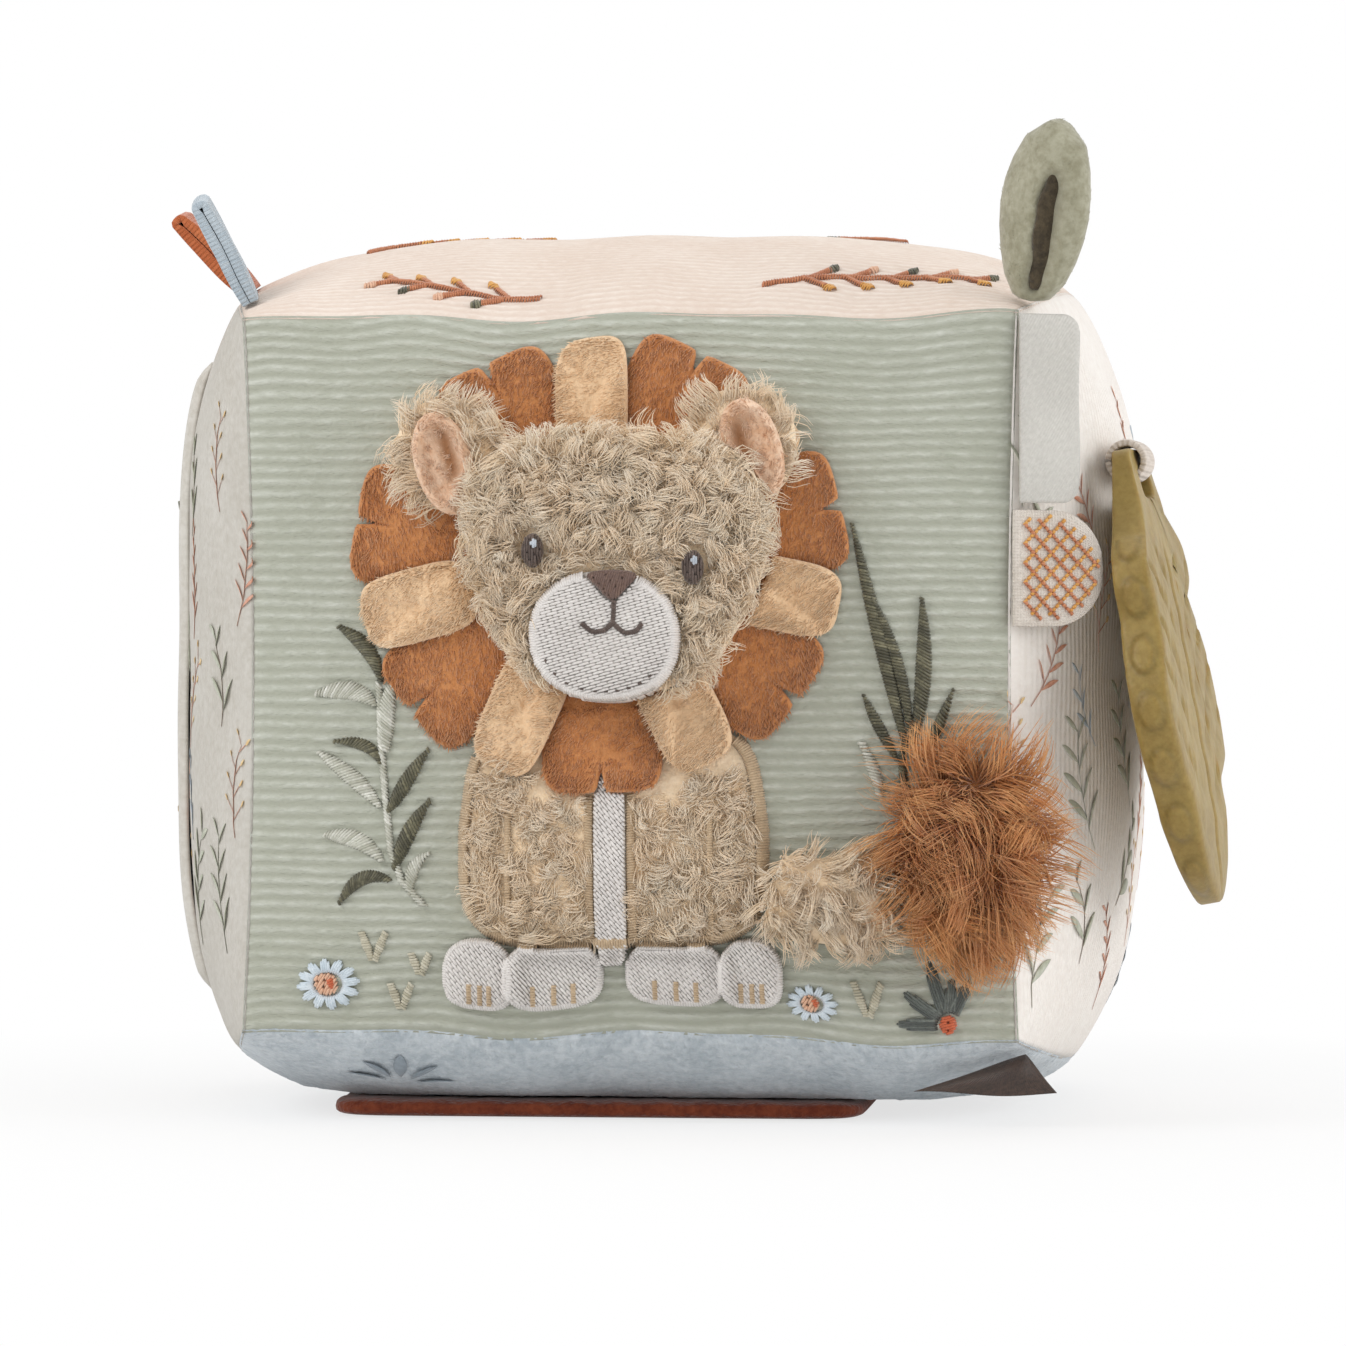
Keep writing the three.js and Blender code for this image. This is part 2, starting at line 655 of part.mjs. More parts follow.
function addRibbons() {
  for (const [name, ribbon, lift, color] of [
    ["ribbon_blue", blueRibbon, ribbonSeat.blue, "#b8c8d2"],
    ["ribbon_rust", rustRibbon, ribbonSeat.rust, "#c66f45"],
  ]) {
    const strip = foldedRibbon(ribbon);
    const back = ribbon.back + ribbon.wide / 2;
    addPiece(name, onTopSeam(strip, -1, back, ribbon.lean, lift), color, 0.6);
  }
}

// Folded leaf: a U-shaped section whose mouth is on the right, round a dark lining.
const leafWidthShares = [0.18, 0.66, 0.86, 0.97, 1, 0.94, 0.8, 0.56, 0.2];
const leafMouthDegrees = 24;

function leafSection(share, { wide, deep, wall }, inner, clear) {
  const steps = 9;
  const start = THREE.MathUtils.degToRad(leafMouthDegrees);
  const w = (share * wide) / 2;
  const d = (Math.sqrt(share) * deep) / 2;
  const slit = [w - wall * share, Math.max(d * 0.42, d - wall)];
  const ring = [];
  const push = (radii, a) => ring.push([radii[0] * Math.cos(a), radii[1] * Math.sin(a)]);
  if (inner) {
    for (let i = 0; i < 2 * steps; i++)
      push([slit[0] - clear, slit[1] - clear], (Math.PI * i) / steps);
    return ring;
  }
  const angle = (i) => start + ((2 * Math.PI - 2 * start) * i) / steps;
  for (let i = 0; i <= steps; i++) push([w, d], angle(i));
  for (let i = steps; i >= 0; i--) push(slit, angle(i));
  return ring;
}

function leafGeometry(inner) {
  const count = leafWidthShares.length;
  const sections = leafWidthShares.map((share, s) => {
    const t = s / (count - 1);
    const z = inner ? leaf.tall * (0.05 + 0.84 * t) : leaf.tall * t;
    return leafSection(share, leaf, inner, layGap).map(([x, y]) => new THREE.Vector3(x, y, z));
  });
  const cap = leafSection(1, leaf, inner, layGap).map(([x, y]) => new THREE.Vector2(x, y));
  return loft(sections, cap);
}

function addLeaf() {
  for (const [name, inner, color] of [
    ["leaf_outer", false, "#a3a58f"],
    ["leaf_lining", true, "#5f5a48"],
  ]) {
    const geometry = leafGeometry(inner).rotateZ(THREE.MathUtils.degToRad(-leaf.turn));
    addPiece(name, onTopSeam(geometry, 1, leaf.back, leaf.lean, 1.6 * sewnGap), color);
  }
}

// The satin loop squashed under the lower right corner.
function addBrownLoop() {
  const seam = facePoint(faces.bottom, 1, 1 - brownLoop.back / half.y);
  const root = [seam.x - sewnGap, seam.z - 2 * sewnGap];
  const shape = new THREE.Shape();
  shape.moveTo(root[0], root[1]);
  shape.lineTo(root[0] - brownLoop.left, root[1] - brownLoop.drop);
  shape.lineTo(root[0] - brownLoop.left, root[1] - brownLoop.drop - brownLoop.thick / 2);
  shape.lineTo(root[0] + brownLoop.right, root[1] - brownLoop.drop);
  shape.lineTo(root[0] + brownLoop.right, root[1] - brownLoop.drop + brownLoop.thick / 2);
  const settings = { depth: brownLoop.thick, bevelEnabled: false };
  const geometry = new THREE.ExtrudeGeometry(shape, settings);
  geometry.rotateX(Math.PI / 2);
  geometry.translate(0, brownLoop.back - half.y, 0);
  addPiece("brown_loop", geometry, "#4a3429", 0.5);
}

// Peek flap over the left face: two cloths with a crackling film between them.
function addFlap() {
  const seam = 1 - flap.fromSeam / half.y;
  const free = seam - flap.reach / half.y;
  const edge = flap.tall / seamHeight;
  const acrossShares = [-seam, ...gridShares.filter((a) => a > -seam && a < -free), -free];
  const upShares = [-edge, ...gridShares.filter((b) => Math.abs(b) < edge), edge];
  let lift = layGap;
  for (const [name, thick, color] of [
    ["flap_back", flap.thick, "#f0e2d8"],
    ["flap_crinkle_film", flap.film, "#dfe3e6"],
    ["flap_front", flap.thick, "#ead0c4"],
  ]) {
    const [outer, inner] = [{ lift: lift + thick, inset: 0 }, { lift, inset: 0 }];
    addPiece(name, clothGeometry(faces.left, acrossShares, upShares, outer, inner), color);
    lift += thick + layGap;
  }
}

// Mirror frame and plate

function roundedRectangle(path, wide, deep, corner) {
  const [x, y] = [wide / 2, deep / 2];
  path.moveTo(corner - x, -y);
  path.lineTo(x - corner, -y);
  path.quadraticCurveTo(x, -y, x, corner - y);
  path.lineTo(x, y - corner);
  path.quadraticCurveTo(x, y, x - corner, y);
  path.lineTo(corner - x, y);
  path.quadraticCurveTo(-x, y, -x, y - corner);
  path.lineTo(-x, corner - y);
  path.quadraticCurveTo(-x, -y, corner - x, -y);
  return path;
}

function addMirror() {
  const { width, depth, rim, thick, corner, offset } = mirrorFrame;
  const openWide = width - 2 * rim;
  const openDeep = depth - 2 * rim;
  const shape = roundedRectangle(new THREE.Shape(), width, depth, corner);
  shape.holes.push(roundedRectangle(new THREE.Path(), openWide, openDeep, mirrorPlate.corner));
  const settings = { bevelEnabled: false, curveSegments: 5 };
  const frame = new THREE.ExtrudeGeometry(shape, { ...settings, depth: thick });
  addPiece("mirror_frame", frame.translate(offset, 0, 0), "#8c3a1c");
  const clear = 2 * layGap;
  const glass = new THREE.Shape();
  roundedRectangle(glass, openWide - clear, openDeep - clear, mirrorPlate.corner);
  const plate = new THREE.ExtrudeGeometry(glass, { ...settings, depth: mirrorPlate.thick });
  addPiece("mirror_plate", plate.translate(offset, 0, 0), "#d9dee2", 0.1, 0.9);
}

// Teether on its strap: a leaf plate, cut deeper at its rear, whose top bar turns in the strap's loop.
const teetherRearShares = [
  [0.2, 0.022], [0.36, 0.012], [0.42, -0.09], [0.5, -0.155], [0.88, -0.2], [0.9, -0.27],
  [0.56, -0.335], [0.66, -0.43], [1.02, -0.5], [1.08, -0.6], [1.02, -0.69], [0.62, -0.75],
  [0.58, -0.85], [0.38, -0.95], [0, -1],
];
const teetherFrontShares = [
  [0.4, -0.94], [0.64, -0.84], [0.74, -0.76], [0.9, -0.69], [1, -0.61], [1, -0.51], [0.9, -0.43],
  [0.82, -0.35], [0.86, -0.29], [0.82, -0.23], [0.64, -0.17], [0.5, -0.1], [0.36, 0.012], [0.2, 0.022],
];

// The plate is thin at its bar and full lower down
function slimTop(geometry) {
  const place = geometry.getAttribute("position");
  for (let i = 0; i < place.count; i++) {
    const down = -place.getY(i) / (teether.tall * fullThicknessShare);
    const rise = Math.min(1, Math.max(0, down));
    const share = barThicknessShare + (1 - barThicknessShare) * rise * (2 - rise);
    place.setZ(i, place.getZ(i) * share);
  }
}

function addTeether() {
  const { tall, wide, thick, bevel, bar } = teether;
  const front = teetherFrontShares.map(([x, y]) => [-x, y]);
  const outline = [...teetherRearShares, ...front].map(
    ([x, y]) => new THREE.Vector3((x * wide) / 2, y * tall, 0),
  );
  const curve = new THREE.CatmullRomCurve3(outline, true, "catmullrom", 0.4);
  const flat = (points, drop) => points.slice(0, -1).map((p) => new THREE.Vector2(p.x, p.y - drop));
  const shape = new THREE.Shape(flat(curve.getPoints(84), 0));
  const { slotWide, slotTall } = strap;
  const slot = roundedRectangle(new THREE.Path(), slotWide, slotTall, slotTall / 3);
  shape.holes.push(new THREE.Path(flat(slot.getPoints(3), (bar + slotTall) / 2)));
  const geometry = new THREE.ExtrudeGeometry(shape, {
    depth: thick - 2 * bevel,
    bevelThickness: bevel,
    bevelSize: bevel / 2,
    bevelOffset: -bevel / 2,
    bevelSegments: 2,
  });
  geometry.translate(0, 0, bevel - thick / 2);
  slimTop(geometry);
  geometry.rotateX(Math.PI / 2);
  geometry.rotateZ(Math.PI / 2);
  const barReach = Math.hypot(bar, thick * barThicknessShare) / 2 + strap.slack;
  const panel = facePoint(faces.right, teether.back / half.y, strap.above / half.z);
  const at = new THREE.Vector3(panel.x + barReach + strap.thick + layGap, teether.back, panel.z);
  const hung = placed(geometry, { turnY: -teether.tilt, turnZ: -teether.turn, at });
  addPiece("teether", hung, "#b49c5e", 0.5);
  addStrap(barReach, at);
}

function addStrap(barReach, at) {
  const outer = barReach + strap.thick;
  const shape = new THREE.Shape();
  shape.absarc(0, 0, outer, 0, 2 * Math.PI);
  const hole = new THREE.Path();
  hole.absarc(0, 0, barReach, 0, 2 * Math.PI);
  shape.holes.push(hole);
  const geometry = new THREE.ExtrudeGeometry(shape, {
    depth: strap.wide,
    bevelEnabled: false,
    curveSegments: 10,
  });
  geometry.translate(0, 0, -strap.wide / 2);
  geometry.rotateX(Math.PI / 2);
  addPiece("teether_strap", placed(geometry, { turnZ: -teether.turn, at }), "#dccfc2");
}

addPanels();
addCore();
addRattle();
addLion();
addTail();
addTags();
addRibbons();
addLeaf();
addBrownLoop();
addFlap();
addMirror();
addTeether();

export default block;
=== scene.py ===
import bpy
import bmesh
import math
import numpy as np
from mathutils import Matrix, Vector
from mathutils.kdtree import KDTree


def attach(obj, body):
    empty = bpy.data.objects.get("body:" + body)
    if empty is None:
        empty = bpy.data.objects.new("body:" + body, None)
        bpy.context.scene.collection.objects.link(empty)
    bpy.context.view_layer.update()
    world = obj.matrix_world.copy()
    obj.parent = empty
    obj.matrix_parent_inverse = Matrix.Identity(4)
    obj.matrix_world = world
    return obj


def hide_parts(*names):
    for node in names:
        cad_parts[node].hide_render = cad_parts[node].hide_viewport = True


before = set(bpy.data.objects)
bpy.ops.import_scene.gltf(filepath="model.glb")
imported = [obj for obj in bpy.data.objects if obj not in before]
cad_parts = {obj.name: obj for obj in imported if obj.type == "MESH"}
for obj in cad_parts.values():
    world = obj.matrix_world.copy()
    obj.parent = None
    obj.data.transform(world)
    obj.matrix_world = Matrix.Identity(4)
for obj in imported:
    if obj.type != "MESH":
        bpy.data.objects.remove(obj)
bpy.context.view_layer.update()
mm = 0.001


# Colours are written as sRGB hex and turned to linear here
def linear(hexColour):
    channels = [int(hexColour[i:i + 2], 16) / 255 for i in (1, 3, 5)]
    return (*[c / 12.92 if c <= 0.04045 else ((c + 0.055) / 1.055) ** 2.4 for c in channels], 1.0)


# Shape of the block, the same rules as the solids follow
block = {
    "halfWidth": 62.9, "halfDepth": 58.0, "halfHeight": 58.0, "middle": 72.5,
    "drawIn": 0.022, "swell": 0.115, "cloth": 1.6, "seam": 0.22, "mirrorSeat": 3.35,
}
# Each face: its ways out, across and up, and its crown as a depth and the powers across and up
faces = {
    "front": {"out": (0, -1, 0), "across": (1, 0, 0), "up": (0, 0, 1), "crown": (6, 4, 4), "seed": 1},
    "back": {"out": (0, 1, 0), "across": (-1, 0, 0), "up": (0, 0, 1), "crown": (9, 3, 3), "seed": 2},
    "left": {"out": (-1, 0, 0), "across": (0, -1, 0), "up": (0, 0, 1), "crown": (10.5, 3, 4), "seed": 3},
    "right": {"out": (1, 0, 0), "across": (0, 1, 0), "up": (0, 0, 1), "crown": (11.8, 3, 3.4), "seed": 4},
    "top": {"out": (0, 0, 1), "across": (1, 0, 0), "up": (0, 1, 0), "crown": (8.7, 4, 3), "seed": 5},
    "bottom": {"out": (0, 0, -1), "across": (1, 0, 0), "up": (0, -1, 0), "crown": (8.5, 5, 4), "seed": 6},
}
for face in faces.values():
    sizes = (block["halfWidth"], block["halfDepth"], block["halfHeight"])
    face["halves"] = [abs(float(np.dot(face[way], sizes))) for way in ("out", "across", "up")]

# The front's seams wave a little, and the lower one drops towards its right end
sag = {"wave": 0.55, "rate": 0.115, "ripple": 0.3, "rippleRate": 0.21, "drop": 1.5, "dropFrom": 38,
       "reach": 22}


# An even waviness between about -1 and 1, with hills `pitch` millimetres apart
def wander(x, y, pitch, seed):
    total = 0.0
    for k in range(4):
        turn = 1.7 * seed + 2.4 * k
        rate = 2 * math.pi * (1 + 0.37 * k) / pitch
        total = total + np.sin(rate * (x * math.cos(turn) + y * math.sin(turn)) + 5.1 * seed + 1.9 * k)
    return total / 4


# Points of a face in metres, from shares a and b of its half sizes and a lift in millimetres
def facePoints(name, a, b, lift=0.0, inset=0.0):
    face = faces[name]
    deep, wide, tall = face["halves"]
    depth, acrossPower, upPower = face["crown"]
    a, b = np.asarray(a, float), np.asarray(b, float)
    crown = depth * (1 - np.minimum(1, abs(a)) ** acrossPower) * (1 - np.minimum(1, abs(b)) ** upPower)
    out, across, up = (np.array(face[k], float) for k in ("out", "across", "up"))
    p = (deep + crown + lift)[..., None] * out
    p = p + (a * (wide - inset))[..., None] * across + (b * (tall - inset))[..., None] * up
    rise = np.minimum(1, abs(p[..., 2]) / block["halfHeight"])
    back = np.minimum(1, abs(p[..., 1]) / block["halfDepth"])
    waist = 1 - block["drawIn"] * (1 - rise * rise)
    swell = 1 + block["swell"] * (1 - back * back)
    p = np.stack([p[..., 0] * waist * swell, p[..., 1] * waist, p[..., 2] * swell + block["middle"]], -1)
    x, z = p[..., 0], p[..., 2]
    front = np.exp(-((p[..., 1] + block["halfDepth"]) / sag["reach"]) ** 2)
    waves = sag["wave"] * np.sin(x * sag["rate"] + 0.6) + sag["ripple"] * np.sin(x * sag["rippleRate"] + 2)
    drop = sag["drop"] / (1 + np.exp((sag["dropFrom"] - x) / 7)) * (z < block["middle"])
    atSeam = np.clip(abs(z - block["middle"]) / 50, 0, 1) ** 6
    withinFront = np.clip((69 - abs(x)) / 8, 0, 1)
    p[..., 2] = z + (waves - drop) * front * atSeam * withinFront
    if name == "bottom":
        p[..., 2] = np.maximum(p[..., 2], block["mirrorSeat"] - lift)
    return p * mm


pucker = {"gather": 0.5, "gatherPitch": 12, "reach": 10, "slow": 0.4, "slowPitch": 44, "fadeReach": 2.5,
          "roll": 0.55, "rollReach": 0.9}


# How far the cloth lies off its smooth form: gathers by the seams, slow waves, and the turn into the seam
def puckerLift(name, a, b):
    _, wide, tall = faces[name]["halves"]
    seed = faces[name]["seed"]
    x, y = np.asarray(a) * wide, np.asarray(b) * tall
    fromSide, fromEnd = wide - abs(x), tall - abs(y)
    near = np.maximum(0, np.minimum(fromSide, fromEnd))
    gathers = wander(x, y * 0.15, pucker["gatherPitch"], seed) * np.exp(-fromEnd / pucker["reach"])
    sideways = wander(x * 0.15, y, pucker["gatherPitch"], seed + 3)
    gathers = gathers + sideways * np.exp(-fromSide / pucker["reach"])
    slow = wander(x, y, pucker["slowPitch"], seed + 7)
    fade = 1 - np.exp(-near / pucker["fadeReach"])
    turnIn = pucker["roll"] * np.exp(-near / pucker["rollReach"])
    return (pucker["gather"] * gathers + pucker["slow"] * slow) * fade - turnIn


# The same from millimetres right of and above the middle of a face, on the real cloth
def onFace(name, u, v, lift=0.0):
    _, wide, tall = faces[name]["halves"]
    a, b = np.asarray(u, float) / wide, np.asarray(v, float) / tall
    return facePoints(name, a, b, lift + puckerLift(name, a, b))


# Materials
# Adds a node with its settings and links; sockets go by name or number
def addNode(tree, kind, settings={}, links={}):
    made = tree.nodes.new("ShaderNode" + kind)
    for name, value in settings.items():
        if isinstance(name, int) or name in made.inputs:
            made.inputs[name].default_value = value
        else:
            setattr(made, name, value)
    for name, socket in links.items():
        tree.links.new(socket, made.inputs[name])
    return made


materials = {}


def newMaterial(name, colour, roughness, sockets={}):
    material = bpy.data.materials.new(name)
    materials[name] = material
    material.use_nodes = True
    shader = material.node_tree.nodes["Principled BSDF"]
    for socket, value in {"Base Color": linear(colour), "Roughness": roughness, **sockets}.items():
        shader.inputs[socket].default_value = value
    return material.node_tree, shader


# A cloth, thread or skin: two tones mixed by a mottle and a grain, and bumps of real sizes in millimetres.
# look: dark, light, rough, mottle, grain, stretch, coords, sheen, bumps (kind, size, depth, turn, stretch),
# and, where the mesh carries one, an attribute that mixes in a third tone
def softMaterial(name, look):
    sockets = {"Sheen Weight": look.get("sheen", 0.25), "Sheen Roughness": 0.5,
               "Specular IOR Level": look.get("gloss", 0.25), "IOR": 1.45}
    sockets.update(look.get("sockets", {}))
    tree, shader = newMaterial(name, look["light"], look.get("rough", 0.9), sockets)
    coords = addNode(tree, "TexCoord").outputs[look.get("coords", "Object")]
    stretched = addNode(tree, "Mapping", {"Scale": look.get("stretch", (1, 1, 1))},
                        {"Vector": coords}).outputs[0]
    grain = addNode(tree, "TexNoise", {"Scale": 1 / (look.get("grain", 0.8) * mm), "Detail": 3.0,
                                       "Roughness": 0.6}, {"Vector": stretched})
    mottle = addNode(tree, "TexNoise", {"Scale": 1 / (look.get("mottle", 9) * mm), "Detail": 2.0},
                     {"Vector": coords})
    both = addNode(tree, "Mix", {"data_type": "FLOAT", 0: look.get("grainShare", 0.6)},
                   {2: mottle.outputs["Fac"], 3: grain.outputs["Fac"]})
    spread = addNode(tree, "MapRange", {"From Min": 0.38, "From Max": 0.62}, {"Value": both.outputs[0]})
    colour = addNode(tree, "Mix", {"data_type": "RGBA", 6: linear(look["dark"]),
                                   7: linear(look["light"])}, {0: spread.outputs[0]}).outputs[2]
    if "attribute" in look:
        share = addNode(tree, "Attribute", {"attribute_name": look["attribute"]}).outputs["Fac"]
        colour = addNode(tree, "Mix", {"data_type": "RGBA", 6: linear(look["third"])},
                         {0: share, 7: colour}).outputs[2]
    tree.links.new(colour, shader.inputs["Base Color"])
    normal = None
    for kind, size, depth, turn, pull in look.get("bumps", []):
        placed = addNode(tree, "Mapping", {"Rotation": tuple(math.radians(t) for t in turn),
                                           "Scale": pull}, {"Vector": coords}).outputs[0]
        if kind == "wave":
            height = addNode(tree, "TexWave", {"Scale": 0.31416 / (size * mm), "Distortion": 0.4,
                                               "Detail": 1.0}, {"Vector": placed}).outputs["Fac"]
        else:
            height = addNode(tree, "TexNoise", {"Scale": 1 / (size * mm), "Detail": 2.0},
                             {"Vector": placed}).outputs["Fac"]
        links = {"Height": height} if normal is None else {"Height": height, "Normal": normal}
        normal = addNode(tree, "Bump", {"Strength": 1.0, "Distance": depth * mm}, links).outputs[0]
    if normal is not None:
        tree.links.new(normal, shader.inputs["Normal"])


def addMaterials(looks):
    for name, look in looks.items():
        softMaterial(name, look)


# A finish in two or three tones, with the settings of another that it is like and its own
def toned(*tones, like={}, **settings):
    return {**like, **dict(zip(("dark", "light", "third"), tones)), **settings}


even = (1, 1, 1)
flat = (0, 0, 0)
jerseyKnit = [("wave", 1.1, 0.10, flat, even), ("noise", 0.6, 0.12, flat, even)]
looks = {
    # cotton corduroy, cut pile: matt, with short slanted flecks; rib tops paler as painted highlight, valleys
    # in the darker third tone as painted shade
    "sageCorduroy": toned("#b8bbac", "#d5d7cd", "#acae9f", attribute="relief", grain=0.9, mottle=14,
        stretch=(0.45, 1.3, 1), coords="UV", bumps=[("noise", 0.7, 0.35, (0, 0, 25), (0.5, 1.4, 1))]),
    # cut velour: soft, with a darker mottle as painted shade for where the pile leans away
    "sageVelour": toned("#8b957c", "#a9b29a", grain=1.1, mottle=12, coords="UV",
        bumps=[("noise", 0.9, 0.4, flat, even)]),
    # printed cotton jersey: smooth, fine upright stitches
    "leftCotton": toned("#bfbab0", "#cecac2", coords="UV", grain=1.4, mottle=20, sheen=0.1,
                        bumps=jerseyKnit),
    "rightCotton": toned("#eee7e0", "#f6f1eb", coords="UV", grain=1.4, mottle=20, sheen=0.1,
        bumps=jerseyKnit),
    # fine rib cotton in blush, ribs running across; the darker third tone in their valleys is painted shade
    "blushRib": toned("#e3d2c4", "#f0e4d9", "#dcc7b8", attribute="relief", coords="UV", grain=0.9, mottle=18,
        sheen=0.15, stretch=(0.5, 1.2, 1), bumps=[("noise", 0.6, 0.15, flat, (0.6, 1.3, 1))]),
    # short plush, brushed in small swirls
    "bluePlush": toned("#b6c0c7", "#d9e0e5", coords="UV", grain=1.3, mottle=7, sheen=0.4,
        bumps=[("noise", 1.3, 0.6, flat, even), ("noise", 0.5, 0.25, flat, even)]),
}
addMaterials(looks)
print("materials made")


# Sewing helpers
def meshObject(name, mesh, finish, smooth=True):
    piece = bpy.data.objects.new(name, mesh)
    bpy.context.scene.collection.objects.link(piece)
    mesh.materials.clear()
    mesh.materials.append(materials[finish])
    mesh.polygons.foreach_set("use_smooth", [smooth] * len(mesh.polygons))
    return piece


def readPoints(mesh):
    co = np.empty(len(mesh.vertices) * 3, np.float32)
    mesh.vertices.foreach_get("co", co)
    return co.reshape(-1, 3).astype(float)


def writePoints(mesh, points):
    mesh.vertices.foreach_set("co", np.asarray(points, np.float32).ravel())
    mesh.update()


def meshFrom(bm, name):
    mesh = bpy.data.meshes.new(name)
    bm.to_mesh(mesh)
    bm.free()
    return mesh


# Keeps the cloth's own millimetres as a map for its pattern
def storeMap(mesh, across, along):
    corners = np.empty(len(mesh.loops), np.int32)
    mesh.loops.foreach_get("vertex_index", corners)
    places = np.stack([across[corners], along[corners]], 1).astype(np.float32).ravel() * mm
    mesh.uv_layers.new(name="cloth").data.foreach_set("uv", places)


def storeShare(mesh, name, values):
    mesh.attributes.new(name, "FLOAT", "POINT").data.foreach_set("value", np.asarray(values, np.float32))


def settle(piece, body, slotName, *nodes):
    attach(piece, body)
    if nodes:
        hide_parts(*nodes)
    return piece


# A sewn face of the block: a fine grid laid over the face, its edge turned in and closed behind
def sewnPanel(name, faceName, cells, finish, relief=None):
    _, wide, tall = faces[faceName]["halves"]
    bm = bmesh.new()
    bmesh.ops.create_grid(bm, x_segments=cells[0], y_segments=cells[1], size=1)
    turnedIn = bmesh.ops.extrude_edge_only(bm, edges=[e for e in bm.edges if e.is_boundary])
    for v in turnedIn["geom"]:
        if isinstance(v, bmesh.types.BMVert):
            v.co.z = -1
    bmesh.ops.holes_fill(bm, edges=[e for e in bm.edges if e.is_boundary], sides=0)
    mesh = meshFrom(bm, name)
    grid = readPoints(mesh)
    a, b, inner = grid[:, 0], grid[:, 1], grid[:, 2] < -0.5
    u, v = a * wide, b * tall
    near = np.minimum(wide - abs(u), tall - abs(v))
    height, share = (np.zeros(len(u)), np.ones(len(u))) if relief is None else relief(u, v, near)
    lift = np.where(inner, -block["cloth"], puckerLift(faceName, a, b) + height)
    inset = np.where(inner, block["seam"] + block["cloth"], block["seam"])
    writePoints(mesh, facePoints(faceName, a, b, lift, inset))
    # The relief share paints rib valleys in the darker third tone (painted shade) and rib tops paler (painted
    # highlight); it is 1 on panels without relief
    storeShare(mesh, "relief", share)
    storeMap(mesh, u, v)
    return meshObject(name, mesh, finish)


corduroy = {"pitch": 1.96, "height": 0.36, "drift": 0.22, "seamDrift": 0.38, "seamReach": 13}


# Ribs run across the front; they drift a little, and more where the seams gather the cloth
def corduroyRelief(u, v, near):
    drift = corduroy["drift"] * wander(u * 0.5, v, 30, 11)
    fromSeam = block["halfHeight"] - abs(v)
    bySeam = corduroy["seamDrift"] * wander(u, v * 0.3, 26, 13)
    drift = drift + bySeam * np.exp(-fromSeam / corduroy["seamReach"])
    phase = v / corduroy["pitch"] + drift
    rib = (0.5 + 0.5 * np.cos(2 * math.pi * phase)) ** 1.2
    slub = 0.7 + 0.3 * wander(u * 1.0, v * 3.1, 8, 17)
    # The second value is painted highlight on the rib tops and painted shade in the valleys, uneven with the
    # slub
    return corduroy["height"] * (rib * slub - 0.4) * np.clip(near / 1.4, 0, 1), rib * slub


fineRib = {"pitch": 1.5, "height": 0.18}


def fineRibRelief(u, v, near):
    phase = v / fineRib["pitch"] + 0.3 * wander(u * 0.4, v, 22, 19)
    rib = 0.5 + 0.5 * np.cos(2 * math.pi * phase)
    # The second value darkens the valleys between the ribs as painted shade
    return fineRib["height"] * (rib - 0.5), 0.35 + 0.65 * rib


plush = {"pitch": 2.2, "height": 0.35}


def plushRelief(u, v, near):
    tufts = wander(u, v, plush["pitch"], 23) * wander(u, v, 3.1 * plush["pitch"], 29)
    return plush["height"] * tufts, np.ones(len(u))


panels = {
    "front_sewn": ("front_panel", "front", (120, 470), "sageCorduroy", corduroyRelief, "sage_corduroy"),
    "back_sewn": ("back_panel", "back", (110, 110), "sageVelour", None, "sage_velour"),
    "left_sewn": ("left_panel", "left", (110, 110), "leftCotton", None, "left_print_cotton"),
    "right_sewn": ("right_panel", "right", (110, 110), "rightCotton", None, "right_print_cotton"),
    "top_sewn": ("top_panel", "top", (90, 340), "blushRib", fineRibRelief, "blush_rib"),
    "bottom_sewn": ("bottom_panel", "bottom", (170, 160), "bluePlush", plushRelief, "blue_plush"),
}
for pieceName, (node, faceName, cells, finish, relief, slotName) in panels.items():
    panel = sewnPanel(pieceName, faceName, cells, finish, relief)
    settle(panel, "block", slotName, node)
print("panels sewn")

# Strands, threads and pads
# A closed tube with a tapered end, made once and swept along every line of a piece
def strandTemplate(sides, steps):
    bm = bmesh.new()
    bmesh.ops.create_cone(bm, cap_ends=True, segments=sides, radius1=1, radius2=1, depth=1)
    upright = [e for e in bm.edges if abs(e.verts[0].co.z - e.verts[1].co.z) > 0.5]
    bmesh.ops.subdivide_edges(bm, edges=upright, cuts=steps - 1, use_grid_fill=True)
    bm.verts.index_update()
    points = np.array([v.co for v in bm.verts])
    polygons = [[v.index for v in f.verts] for f in bm.faces]
    bm.free()
    levels = np.rint((points[:, 2] + 0.5) * steps).astype(int)
    return points[:, :2], levels, polygons


